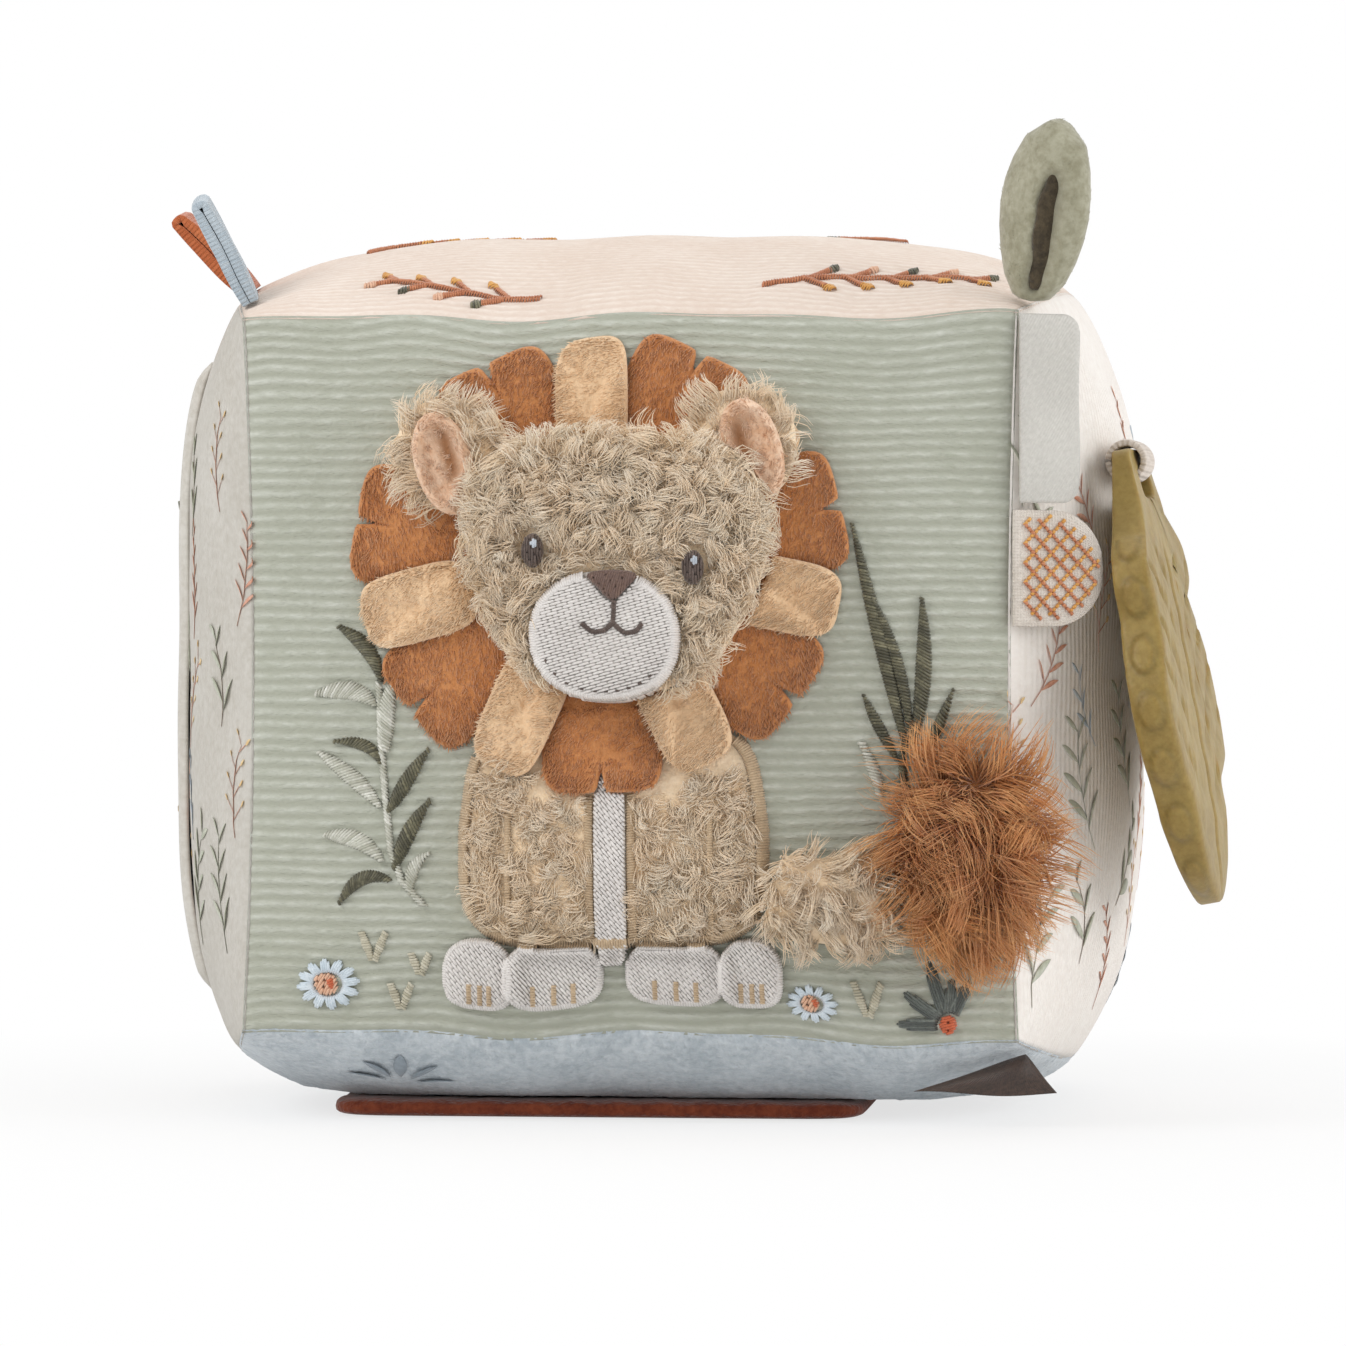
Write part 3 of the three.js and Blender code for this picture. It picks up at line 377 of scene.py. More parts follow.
# lines: strands x levels x 3 in metres; radii: strands x levels in metres
def sweep(name, lines, radii, finish, sides=3, flatten=1.0, outward=None, shade=None):
    lines = np.asarray(lines, float)
    count, levels, _ = lines.shape
    ring, level, polygons = strandTemplate(sides, levels - 1)
    along = lines[:, -1] - lines[:, 0]
    along /= np.maximum(np.linalg.norm(along, axis=1, keepdims=True), 1e-12)
    if outward is None:
        outward = np.tile((0.13, -0.9, 0.41), (count, 1))
    side = np.cross(along, outward)
    side /= np.maximum(np.linalg.norm(side, axis=1, keepdims=True), 1e-9)
    rise = np.cross(side, along)
    points = lines[:, level] + radii[:, level, None] * (
        ring[None, :, :1] * side[:, None] + flatten * ring[None, :, 1:] * rise[:, None])
    perStrand = len(ring)
    mesh = bpy.data.meshes.new(name)
    mesh.vertices.add(count * perStrand)
    loopCount = sum(len(p) for p in polygons)
    mesh.loops.add(count * loopCount)
    mesh.polygons.add(count * len(polygons))
    order = np.concatenate([np.array(p) for p in polygons])
    starts = np.cumsum([0] + [len(p) for p in polygons[:-1]])
    strand = np.arange(count)[:, None]
    mesh.loops.foreach_set("vertex_index", (order[None] + perStrand * strand).ravel().astype(np.int32))
    mesh.polygons.foreach_set("loop_start", (starts[None] + loopCount * strand).ravel().astype(np.int32))
    writePoints(mesh, points.reshape(-1, 3))
    mesh.update(calc_edges=True)
    if shade is None:
        shade = np.zeros((count, levels))
    storeShare(mesh, "shade", shade[:, level].ravel())
    mesh.validate()
    return meshObject(name, mesh, finish)


# Heights of what already lies on the front, in millimetres, so each pad rests on those below
pileCell = 0.6
pileReach = 128
pile = np.zeros((2 * pileReach + 1, 2 * pileReach + 1))
pileU, pileV = np.meshgrid((np.arange(2 * pileReach + 1) - pileReach) * pileCell,
                           (np.arange(2 * pileReach + 1) - pileReach) * pileCell, indexing="ij")


def sampleMap(heights, u, v):
    x = np.clip(np.asarray(u, float) / pileCell + pileReach, 0, 2 * pileReach - 0.001)
    y = np.clip(np.asarray(v, float) / pileCell + pileReach, 0, 2 * pileReach - 0.001)
    i, j = x.astype(int), y.astype(int)
    p, q = x - i, y - j
    return (heights[i, j] * (1 - p) * (1 - q) + heights[i + 1, j] * p * (1 - q)
            + heights[i, j + 1] * (1 - p) * q + heights[i + 1, j + 1] * p * q)


# The pile as a cloth laid over it would touch it
def draped(reach=3, passes=3):
    top = pile.copy()
    for _ in range(reach):
        grown = top.copy()
        for shift in ((1, 0), (-1, 0), (0, 1), (0, -1)):
            grown = np.maximum(grown, np.roll(top, shift, (0, 1)))
        top = grown
    for _ in range(passes):
        beside = np.roll(top, 1, 0) + np.roll(top, -1, 0) + np.roll(top, 1, 1) + np.roll(top, -1, 1)
        top = (top * 4 + beside) / 8
    return top


# Outlines give the reach from a pad's middle in each direction
def ovalOutline(wide, tall, power=2.0):
    return lambda angle: (
        (abs(np.cos(angle) / wide) ** power + abs(np.sin(angle) / tall) ** power) ** (-1 / power))


# A smooth line through points, `steps` to a stretch; the first and last point only steer it
def throughPoints(points, steps, pull):
    fine = []
    for p0, p1, p2, p3 in zip(points[:-3], points[1:-2], points[2:-1], points[3:]):
        for t in np.linspace(0, 1, steps, endpoint=False):
            leave, arrive = pull * (p2 - p0), pull * (p3 - p1)
            near = (2 * t ** 3 - 3 * t ** 2 + 1) * p1 + (t ** 3 - 2 * t ** 2 + t) * leave
            fine.append(near + (3 * t ** 2 - 2 * t ** 3) * p2 + (t ** 3 - t ** 2) * arrive)
    return np.array(fine)


# The length of a line up to each of its points
def runAlong(points):
    return np.concatenate([[0], np.cumsum(np.linalg.norm(np.diff(points, axis=0), axis=1))])


def drawnOutline(wide, tall, shares):
    fine = throughPoints(np.array([*shares[-2:], *shares, *shares[:3]], float) * (wide, tall), 12, 0.5)
    angles = np.arctan2(fine[:, 1], fine[:, 0])
    order = np.argsort(angles)
    angles, reach = angles[order], np.hypot(fine[:, 0], fine[:, 1])[order]
    return lambda angle: np.interp(np.arctan2(np.sin(angle), np.cos(angle)), angles, reach,
                                   period=2 * math.pi)


def turnedOutline(outline, degrees):
    return lambda angle: outline(np.asarray(angle) - math.radians(degrees))


# A tab points along +X; a cut at its tip makes it two-lobed
def tabOutline(long, wide, power=3.4, cut=0.0, cutWidth=0.1):
    oval = ovalOutline(long, wide, power)

    def outline(angle):
        a = np.arctan2(np.sin(angle), np.cos(angle))
        slit = cut * np.clip(1 - abs(a) / cutWidth, 0, 1) ** 0.7 + 0.16 * cut * np.exp(-(a / 0.11) ** 2)
        return oval(angle) * (1 - slit)
    return outline


def shareIn(pad, u, v):
    x, y = np.asarray(u) - pad["at"][0], np.asarray(v) - pad["at"][1]
    return np.hypot(x, y) / pad["outline"](np.arctan2(y, x))


# An outline that stops short of another pad
def trimOutline(pad, other, clear):
    angles = np.linspace(-math.pi, math.pi, 361)
    reach = pad["outline"](angles)
    steps = np.linspace(1 / 80, 1, 80)
    u = pad["at"][0] + np.outer(steps, reach * np.cos(angles))
    v = pad["at"][1] + np.outer(steps, reach * np.sin(angles))
    x, y = u - other["at"][0], v - other["at"][1]
    blocked = np.hypot(x, y) < other["outline"](np.arctan2(y, x)) + clear
    first = np.where(blocked.any(0), np.argmax(blocked, 0), len(steps))
    kept = np.maximum(first, 1) / len(steps) * reach
    return lambda angle: np.interp(np.arctan2(np.sin(angle), np.cos(angle)), angles, kept,
                                   period=2 * math.pi)


padGap = 0.12


# A sewn pad on the front, from a squashed sphere; it drapes over the pile or keeps one level top
def layPad(name, pad, finish, around=72, rings=26):
    base = draped()
    u0, v0 = pad["at"]
    rimAngles = np.linspace(0, 2 * math.pi, 48, endpoint=False)
    rimReach = pad["outline"](rimAngles)
    levelBase = sampleMap(base, u0 + rimReach * np.cos(rimAngles), v0 + rimReach * np.sin(rimAngles)).max()

    def neck(v):
        if "neck" not in pad:
            return 1.0
        return np.clip((pad["neck"][0] - v) / (pad["neck"][0] - pad["neck"][1]), 0, 1)

    def topAt(u, v, share):
        under = sampleMap(base, u, v) + padGap
        dome = pad["rim"] + pad["thick"] * np.sqrt(np.maximum(0, 1 - share ** pad.get("dome", 3))) * neck(v)
        dome = dome + pad.get("cup", 0) * np.exp(-((share - 0.8) / 0.17) ** 2)
        return np.maximum(levelBase + dome, under + pad["rim"]) if pad.get("level") else under + dome

    bm = bmesh.new()
    bmesh.ops.create_uvsphere(bm, u_segments=around, v_segments=rings, radius=1)
    mesh = meshFrom(bm, name)
    ball = readPoints(mesh)
    angle = np.arctan2(ball[:, 1], ball[:, 0])
    share = np.hypot(ball[:, 0], ball[:, 1])
    reach = share * pad["outline"](angle)
    u, v = u0 + reach * np.cos(angle), v0 + reach * np.sin(angle)
    under, top = sampleMap(base, u, v) + padGap, topAt(u, v, share)
    side = np.sign(ball[:, 2]) * abs(ball[:, 2]) ** 0.6
    lift = under + (top - under) * (0.5 + 0.5 * side)
    writePoints(mesh, onFace("front", u, v, lift))
    piece = meshObject(name, mesh, finish)
    inside = shareIn(pad, pileU, pileV)
    covered = inside <= 1
    pile[covered] = np.maximum(pile[covered], topAt(pileU[covered], pileV[covered], inside[covered]))
    return piece


# Spots spread over a pad, as millimetres right of and above the front's middle
def spotsOn(pad, perSquare, seed, avoid=(), reachShare=1.0):
    draw = np.random.RandomState(seed)
    step = 1 / math.sqrt(perSquare)
    angles = np.linspace(0, 2 * math.pi, 72)
    size = float(pad["outline"](angles).max()) + 1
    grid = np.arange(-size, size, step)
    u, v = (g.ravel() for g in np.meshgrid(grid, grid))
    u = u + pad["at"][0] + draw.uniform(-0.5, 0.5, len(u)) * step
    v = v + pad["at"][1] + draw.uniform(-0.5, 0.5, len(v)) * step
    keep = shareIn(pad, u, v) < reachShare
    for other, grow in avoid:
        x, y = u - other["at"][0], v - other["at"][1]
        keep &= np.hypot(x, y) > other["outline"](np.arctan2(y, x)) + grow
    return u[keep], v[keep]


# Points on the front at a lift, with the directions outward, across and up there
def frameAt(u, v, lift):
    d = 0.35
    p = onFace("front", u, v, lift(u, v))
    du = onFace("front", u + d, v, lift(u + d, v)) - onFace("front", u - d, v, lift(u - d, v))
    dv = onFace("front", u, v + d, lift(u, v + d)) - onFace("front", u, v - d, lift(u, v - d))
    out = np.cross(du, dv)
    return p, *(w / np.linalg.norm(w, axis=1, keepdims=True) for w in (out, du, dv))


# Fur: strands lean, bend and curl; neighbours in a lock share their direction and draw together at the tip.
# coat: length, radius, lean and bend in degrees, curl in degrees, lock size in mm, gather 0 to 1, vary 0 to 1
def growFur(name, p, out, comb, coat, finish, seed):
    draw = np.random.RandomState(seed)
    count, levels = len(p), coat.get("levels", 5)
    lockCount = max(1, int(count / coat["perLock"]))
    lockRoots = p[draw.choice(count, lockCount, replace=False)]
    nearest = nearestOf(p, lockRoots)
    lockTurn = draw.normal(0, coat["wild"], lockCount)
    lockLean = draw.normal(0, coat["leanVary"], lockCount)
    lockCurl = draw.normal(0, 1, lockCount)
    lockLong = 1 + draw.uniform(-coat["vary"], coat["vary"], lockCount)
    turn = np.radians(lockTurn[nearest] + draw.normal(0, coat["wild"] * 0.3, count))
    lean = np.radians(coat["lean"] + lockLean[nearest] + draw.normal(0, 6, count))
    bend = math.radians(coat["bend"]) * draw.uniform(0.7, 1.3, count)
    curl = math.radians(coat["curl"]) * (lockCurl[nearest] + draw.normal(0, 0.3, count))
    long = coat["length"] * mm * lockLong[nearest] * draw.uniform(0.8, 1.12, count)
    side = np.cross(out, comb)
    line = [p - out * 0.3 * mm]
    for k in range(levels - 1):
        t = (k + 0.5) / (levels - 1)
        heading = turn + curl * t
        tilt = lean + bend * t
        way = np.cos(tilt)[:, None] * out + np.sin(tilt)[:, None] * (
            np.cos(heading)[:, None] * comb + np.sin(heading)[:, None] * side)
        line.append(line[-1] + way * (long / (levels - 1))[:, None])
    line = np.stack(line, 1)
    if "frizz" in coat:
        along = np.linspace(0, 1, levels)
        swing = np.sin(2 * math.pi * 0.9 * along[None] + draw.uniform(0, 6.3, lockCount)[nearest][:, None])
        line = line + coat["frizz"] * mm * (along ** 0.7 * swing)[..., None] * side[:, None]
    lockLine = np.zeros((lockCount, levels, 3))
    np.add.at(lockLine, nearest, line)
    lockLine /= np.maximum(np.bincount(nearest, minlength=lockCount), 1)[:, None, None]
    pull = coat["gather"] * np.linspace(0, 1, levels) ** 1.5
    line = line * (1 - pull[None, :, None]) + lockLine[nearest] * pull[None, :, None]
    taper = np.interp(np.linspace(0, 1, levels), [0, 0.6, 1], [1, 0.9, 0.2])
    if levels == 5:
        taper = np.array([1.0, 1.0, 0.92, 0.75, 0.25])
    radii = coat["radius"] * mm * taper[None] * draw.uniform(0.75, 1.25, count)[:, None]
    tone = np.clip(0.5 + 0.22 * draw.normal(0, 1, lockCount)[nearest] + 0.16 * draw.normal(0, 1, count),
                   0, 1)
    # Each strand is darker at its root, painted shade deep in the pile; the tone adds random differences by
    # lock and strand
    shade = np.clip(tone[:, None] * 0.55 + np.linspace(-0.05, 0.5, levels)[None], 0, 1)
    return sweep(name, line, radii, finish, sides=3, outward=out, shade=shade)


# For each point, the index of the nearest centre, through a k-d tree
def nearestOf(points, centres):
    tree = KDTree(len(centres))
    for i, c in enumerate(centres):
        tree.insert(c, i)
    tree.balance()
    return np.array([tree.find(p)[1] for p in points])


# Stitches: each is a short thread that arches out of the cloth; ends are (u, v) in millimetres
def sewStitches(name, ends, lift, finish, radius=0.24, arch=0.28, faceName="front", seed=1, sides=5):
    ends = np.asarray(ends, float)
    t = np.array([0.0, 0.14, 0.5, 0.86, 1.0])
    u = ends[:, 0, 0, None] * (1 - t) + ends[:, 1, 0, None] * t
    v = ends[:, 0, 1, None] * (1 - t) + ends[:, 1, 1, None] * t
    rise = np.array([-0.7, 0.55, 1.0, 0.55, -0.7]) * arch
    draw = np.random.RandomState(seed)
    heights = lift(u, v) if callable(lift) else lift
    lines = onFace(faceName, u, v, heights + rise + draw.uniform(-0.03, 0.03, (len(ends), 1)))
    uneven = draw.uniform(0.88, 1.08, (len(ends), 1))
    radii = radius * mm * np.array([0.7, 1.0, 1.0, 1.0, 0.7])[None] * uneven
    outward = np.tile(faces[faceName]["out"], (len(ends), 1)).astype(float)
    shade = np.repeat(draw.uniform(0.1, 0.9, (len(ends), 1)), 5, 1)
    return sweep(name, lines, radii, finish, sides=sides, outward=outward, shade=shade)


# Satin stitches across a leaf or petal: from start over bend to end, `wide` at its widest
def satinLeaf(start, bend, end, wide, slant=35, spacing=0.54, blunt=0.0):
    start, bend, end = (np.array(p, float) for p in (start, bend, end))
    length = np.linalg.norm(bend - start) + np.linalg.norm(end - bend)
    count = max(4, int(length / spacing))
    ends = []
    for t in np.linspace(0.02, 0.98, count):
        centre = (1 - t) ** 2 * start + 2 * t * (1 - t) * bend + t ** 2 * end
        way = 2 * (1 - t) * (bend - start) + 2 * t * (end - bend)
        way /= np.linalg.norm(way)
        half = wide / 2 * max(blunt, math.sin(math.pi * min(1, t * 0.94 + 0.05)) ** 0.75)
        angle = math.radians(90 - slant)
        across = np.array([way[0] * math.cos(angle) - way[1] * math.sin(angle),
                           way[0] * math.sin(angle) + way[1] * math.cos(angle)])
        reach = half / math.sin(angle)
        ends.append((centre - across * reach, centre + across * reach))
    return ends


# Rows of running stitches that fill a shape, staggered like bricks
def tatami(inside, low, high, degrees, spacing=0.46, stitch=3.0, shift=0.37):
    turn = math.radians(degrees)
    way = np.array([math.cos(turn), math.sin(turn)])
    across = np.array([-way[1], way[0]])
    corners = np.array([[x, y] for x in (low[0], high[0]) for y in (low[1], high[1])])
    near, far = (corners @ across).min(), (corners @ across).max()
    first, last = (corners @ way).min(), (corners @ way).max()
    fine = np.arange(first, last, 0.15)
    ends = []
    for row, offset in enumerate(np.arange(near, far, spacing)):
        points = fine[:, None] * way + offset * across
        kept = inside(points[:, 0], points[:, 1])
        runs = np.flatnonzero(np.diff(np.concatenate([[0], kept.astype(int), [0]])))
        for begin, stop in runs.reshape(-1, 2):
            a, b = fine[begin], fine[stop - 1]
            marks = (np.floor(a / stitch) + np.arange(0, 60)) * stitch + (row * shift % 1) * stitch
            cuts = [a, *[c for c in marks if a + 0.5 < c < b - 0.5], b]
            for c, d in zip(cuts[:-1], cuts[1:]):
                if d - c > 0.3:
                    ends.append((c * way + offset * across, d * way + offset * across))
    return ends


print("helpers ready")
# The lion
# Strands and threads carry a share that mixes in a third tone: on a strand it darkens the root end, painted
# shade deep in the pile; on a thread it differs at random from stitch to stitch
furShade = toned(attribute="shade", rough=0.7, grain=1.4)
threadShade = toned(attribute="shade", rough=0.45, grain=0.5, mottle=4, gloss=0.45)
plainThread = toned(rough=0.45, grain=0.5, mottle=5, gloss=0.45)
lionLooks = {
    # curly plush: cream tips over roots darkened as painted shade deep in the pile, each lock a little
    # different
    "beigeFur": toned("#fce5c8", "#fff5e2", "#f5dab4", like=furShade, grain=2.5, sheen=0.6),
    "beigeBacking": toned("#f0d6b2", "#fae4c6", bumps=[("noise", 1.2, 0.5, flat, even)]),
    # long straight pile of the tail's end: pale tips over roots darkened as painted shade deep in the pile
    "caramelFur": toned("#e39c5c", "#f8c384", "#b06a33", like=furShade, rough=0.5, grain=3, mottle=12,
        gloss=0.4),
    "caramelBacking": toned("#9a6438", "#b57a48", bumps=[("noise", 1.0, 0.4, flat, even)]),
    # short velour of the mane tabs: matt, with a soft bloom where the pile turns away and roots darkened as
    # painted shade
    "darkVelour": toned("#d29463", "#e6ad7e", "#b9743f", like=furShade, grain=1.6, mottle=7, sheen=0.3),
    "darkBacking": toned("#c3814d", "#d1925f", bumps=[("noise", 0.7, 0.3, flat, even)]),
    "lightVelour": toned("#f2d2aa", "#fbe4c6", "#ecc99f", like=furShade, grain=1.6, mottle=8, sheen=0.3),
    "lightBacking": toned("#e7c299", "#f2d2ac", bumps=[("noise", 0.7, 0.3, flat, even)]),
    # the ears' linings: peach velour, brown as painted shade where the cup is deep, under a paler nap whose
    # roots are darkened as painted shade
    "peachVelour": toned("#e6bb98", "#f6d8bd", "#9a6a45", like=furShade, mottle=5, sheen=0.3,
        bumps=[("noise", 0.7, 0.4, flat, even)]),
    "peachNap": toned("#eec3a0", "#fde6d0", "#dcae88", like=furShade, mottle=5, sheen=0.4),
    # embroidery threads: a soft shine along each stitch, over a darker woven ground
    "whiteThread": toned("#dcd6d2", "#f3efeb", "#e6e1dd", like=threadShade, rough=0.5, mottle=6, sheen=0.1,
        gloss=0.4),
    "whiteBacking": toned("#b9b2ab", "#cdc7c0", bumps=[("wave", 0.5, 0.1, flat, even)]),
    "tanThread": toned("#bba283", "#d2ba9a", like=plainThread, rough=0.5, mottle=6, gloss=0.4),
    "noseThread": toned("#5d463c", "#856a5c", "#69524a", like=threadShade, grain=0.4, mottle=3),
    "eyeThread": toned("#453731", "#75635a", "#4c3d36", like=threadShade, rough=0.4, grain=0.4, mottle=3,
        gloss=0.5),
    "paleThread": toned("#a9b1ba", "#ccd3db", like=plainThread, rough=0.35, grain=0.4, mottle=3, gloss=0.5),
}
addMaterials(lionLooks)

headShares = [
    (1, 0.16), (0.93, 0.55), (0.62, 0.9), (0, 0.99), (-0.62, 0.92), (-0.93, 0.62),
    (-1, 0.2), (-0.84, -0.38), (-0.56, -0.82), (0, -1), (0.56, -0.8), (0.84, -0.36),
]
noseShares = [(0, -1), (0.62, -0.1), (0.98, 0.6), (0.6, 0.96), (-0.6, 0.96), (-0.98, 0.6), (-0.62, -0.1)]
bodyOval = ovalOutline(24.8, 18.6, 4.5)


# The lion's shoulders are a little narrower than its seat
def bodyOutline(angle):
    return bodyOval(angle) * (1 - 0.13 * np.clip(np.sin(angle), 0, 1) * abs(np.cos(angle)))


# Pads in millimetres right of and above the front's middle
body = {"at": (-1.8, -24.5), "outline": bodyOutline, "thick": 4.2, "rim": 0.8, "neck": (-5, -21),
        "level": True}
bodySeams = {"sides": (-18.6, 14.4), "foot": -42.6, "sideTop": -21, "bareAbove": -5}
head = {"at": (-0.2, 17.6), "outline": drawnOutline(24.7, 21.0, headShares), "thick": 5.8, "rim": 1.2,
        "level": True}
muzzle = {"at": (-1.4, 6.2), "outline": ovalOutline(12.1, 10.3, 2.2), "thick": 1.6, "rim": 0.9, "dome": 4}
nose = {"at": (0.2, 14.2), "outline": drawnOutline(4.1, 2.4, noseShares), "thick": 0.5, "rim": 0.4}
stripe = {"at": (-1.8, -30.6), "outline": ovalOutline(2.6, 16.2, 5), "thick": 0.3, "rim": 0.5}
tuft = {"at": (56.0, -27.4), "outline": ovalOutline(10.2, 13.8, 2.3), "thick": 6.6, "rim": 1.6,
        "level": True}
paw = {"row": -47.5, "halfTall": 5.5, "thick": 1.3, "rim": 0.8, "dome": 5}
pawPlaces = {"rear_left": (-23.8, 5.8), "front_left": (-11.6, 8.0), "front_right": (8.2, 8.0),
             "rear_right": (20.4, 5.0)}
eyePlaces = {"left": (-12.8, 19.7), "right": (13.0, 17.0)}
earPlaces = {"left": {"at": (-27.6, 35.4), "cup": (-28.4, 33.8), "turn": 16},
             "right": {"at": (19.0, 36.6), "cup": (21.4, 35.8), "turn": 18}}
mane = {"at": (-4.2, 18.1), "outer": (40, 34.6), "count": 7, "first": 66, "place": 0.76}
darkTab = {"outline": tabOutline(10.4, 9.9, 5.6, 0.3, 0.075), "thick": 1.0, "rim": 0.9, "dome": 5}
lightTab = {"outline": tabOutline(9.8, 5.9, 3.8), "thick": 1.2, "rim": 0.9, "dome": 5}
headCoat = {"length": 4.3, "radius": 0.089, "perLock": 14, "wild": 75, "lean": 38, "leanVary": 20,
            "bend": 64, "curl": 110, "gather": 0.66, "vary": 0.35, "frizz": 0.45}
bodyCoat = {**headCoat, "length": 3.7, "lean": 46, "wild": 70}
earCoat = {**headCoat, "length": 4.6, "wild": 40, "lean": 55, "bend": 30, "curl": 60, "gather": 0.5}
tailCoat = {**headCoat, "length": 5.4, "wild": 40, "lean": 48, "bend": 34, "curl": 70, "gather": 0.55,
            "radius": 0.09}
fringeCoat = {**headCoat, "length": 2.0, "wild": 30, "curl": 60}
tuftCoat = {"length": 10.4, "radius": 0.09, "perLock": 22, "wild": 58, "lean": 44, "leanVary": 22,
            "bend": 36, "curl": 38, "gather": 0.52, "vary": 0.4, "levels": 6}
earNap = {"length": 1.3, "radius": 0.08, "perLock": 6, "wild": 90, "lean": 46, "leanVary": 10, "bend": 50,
          "curl": 80, "gather": 0.4, "vary": 0.3, "levels": 4}
velourCoat = {"length": 1.25, "radius": 0.11, "perLock": 8, "wild": 12, "lean": 60, "leanVary": 6,
              "bend": 12, "curl": 8, "gather": 0.0, "vary": 0.15, "levels": 3}


def pileTop(u, v):
    return sampleMap(pile, u, v)


# Combs strands away from a middle, turned by a few degrees
def combFrom(middle, turn=0):
    def comb(u, v, across, up):
        x, y = u - middle[0], v - middle[1]
        size = np.maximum(np.hypot(x, y), 0.01)
        a = math.radians(turn)
        x, y = (x * math.cos(a) - y * math.sin(a)) / size, (x * math.sin(a) + y * math.cos(a)) / size
        return x[:, None] * across + y[:, None] * up
    return comb


# Combs them all one way, in degrees from across towards up
def combTo(degrees):
    a = math.radians(degrees)
    return lambda u, v, across, up: math.cos(a) * across + math.sin(a) * up


# Grows a coat on spots of the front's pile
def coatOver(name, u, v, comb, coat, finish, seed, body, slotName):
    p, out, across, up = frameAt(u, v, pileTop)
    fur = growFur(name, p, out, comb(u, v, across, up), coat, finish, seed)
    return settle(fur, body, slotName)


def sewPad(name, pad, finish, body, slotName, *nodes, **grid):
    piece = layPad(name, pad, finish, **grid)
    settle(piece, body, slotName, *nodes)
    return piece


# Velour: a pad in the pile's root colour with short strands all over it, leaning one way
def sewTab(name, pad, kind, degrees, body, slotName, node, seed):
    sewPad(name, pad, kind + "Backing", body, slotName, node, around=160, rings=18)
    u, v = spotsOn(pad, 5.8, seed)
    coatOver(name + "_nap", u, v, combTo(degrees), velourCoat, kind + "Velour", seed, body, slotName)


sewPad("body_plush", body, "beigeBacking", "block", "beige_fur", "lion_body", around=96, rings=34)
paws = {}


# Paws are domed above and flatter below
def pawOutline(wide, tall):
    above, below = ovalOutline(wide, tall, 2.3), ovalOutline(wide, tall, 3.4)
    return lambda angle: np.where(np.sin(angle) > 0, above(angle), below(angle))


for side, (u, wide) in pawPlaces.items():
    pad = {**paw, "at": (u, paw["row"]), "outline": pawOutline(wide, paw["halfTall"])}
    pad["outline"] = trimOutline(pad, body, 0.3)
    paws[side] = pad
    sewPad(f"paw_{side}_cloth", pad, "whiteBacking", "block", "white_thread", "paw_" + side, around=48,
           rings=16)
sewPad("stripe_cloth", stripe, "whiteBacking", "block", "white_thread", "chest_stripe", around=48, rings=12)


# Where the body carries curls: not on its side seams, nor under the mane
def bodyCurled(u, v):
    left, right = bodySeams["sides"]
    onSeam = (v < bodySeams["sideTop"]) & ((abs(u - left) < 0.8) | (abs(u - right) < 0.8))
    underMane = ((v > -15.5) & (abs(u + 1.8) < 21)) | ((v > -18.8) & (abs(u + 2) < 12))
    return (v < bodySeams["bareAbove"]) & ~onSeam & ~underMane


for half in (1, 2):
    u, v = spotsOn(body, 3.5, 30 + half, avoid=[(stripe, 1.9)], reachShare=0.93)
    keep = bodyCurled(u, v)
    coatOver(f"body_curls_{half}", u[keep], v[keep], combFrom((-2, -6)), bodyCoat, "beigeFur", 32 + half,
             "block", "beige_fur")

tabBodies = {2: "mane_tab_right", 3: "mane_tab_lower_right", 4: "mane_tab_lower_left", 5: "mane_tab_left",
             7: "mane_tab_top"}


def manePlace(step):
    degrees = mane["first"] - 360 / mane["count"] * step
    angle = math.radians(degrees)
    (u, v), (wide, tall) = mane["at"], mane["outer"]
    at = (u + mane["place"] * wide * math.cos(angle), v + mane["place"] * tall * math.sin(angle))
    return at, degrees


tabPads = []
for i in range(mane["count"]):
    at, degrees = manePlace(i)
    pad = {**darkTab, "at": at, "outline": turnedOutline(darkTab["outline"], degrees)}
    tabPads.append(pad)
    sewTab(f"dark_tab_{i + 1}", pad, "dark", 250 + 12 * (i % 3), "block", "dark_mane_velour",
           f"mane_dark_{i + 1}", 40 + i)
for i in range(mane["count"]):
    at, degrees = manePlace(i + 0.5)
    pad = {**lightTab, "at": at, "outline": turnedOutline(lightTab["outline"], degrees)}
    pad["outline"] = trimOutline(pad, head, 0.3)
    tabPads.append(pad)
    sewTab(f"light_tab_{i + 1}", pad, "light", 200 + 15 * (i % 3), tabBodies.get(i + 1, "block"),
           "light_mane_velour", f"mane_light_{i + 1}", 60 + i)
print("mane sewn")

# How far inside an ear's slanted hollow a spot lies, 0 to 1
def earHollow(x, y, ear, sign, reach):
    a = math.radians(ear["turn"])
    x, y = x * math.cos(a) + y * math.sin(a), y * math.cos(a) - x * math.sin(a)
    return np.exp(-((x + 1.5 * sign) / reach) ** 2 - ((y - 1) / 5.2) ** 4)


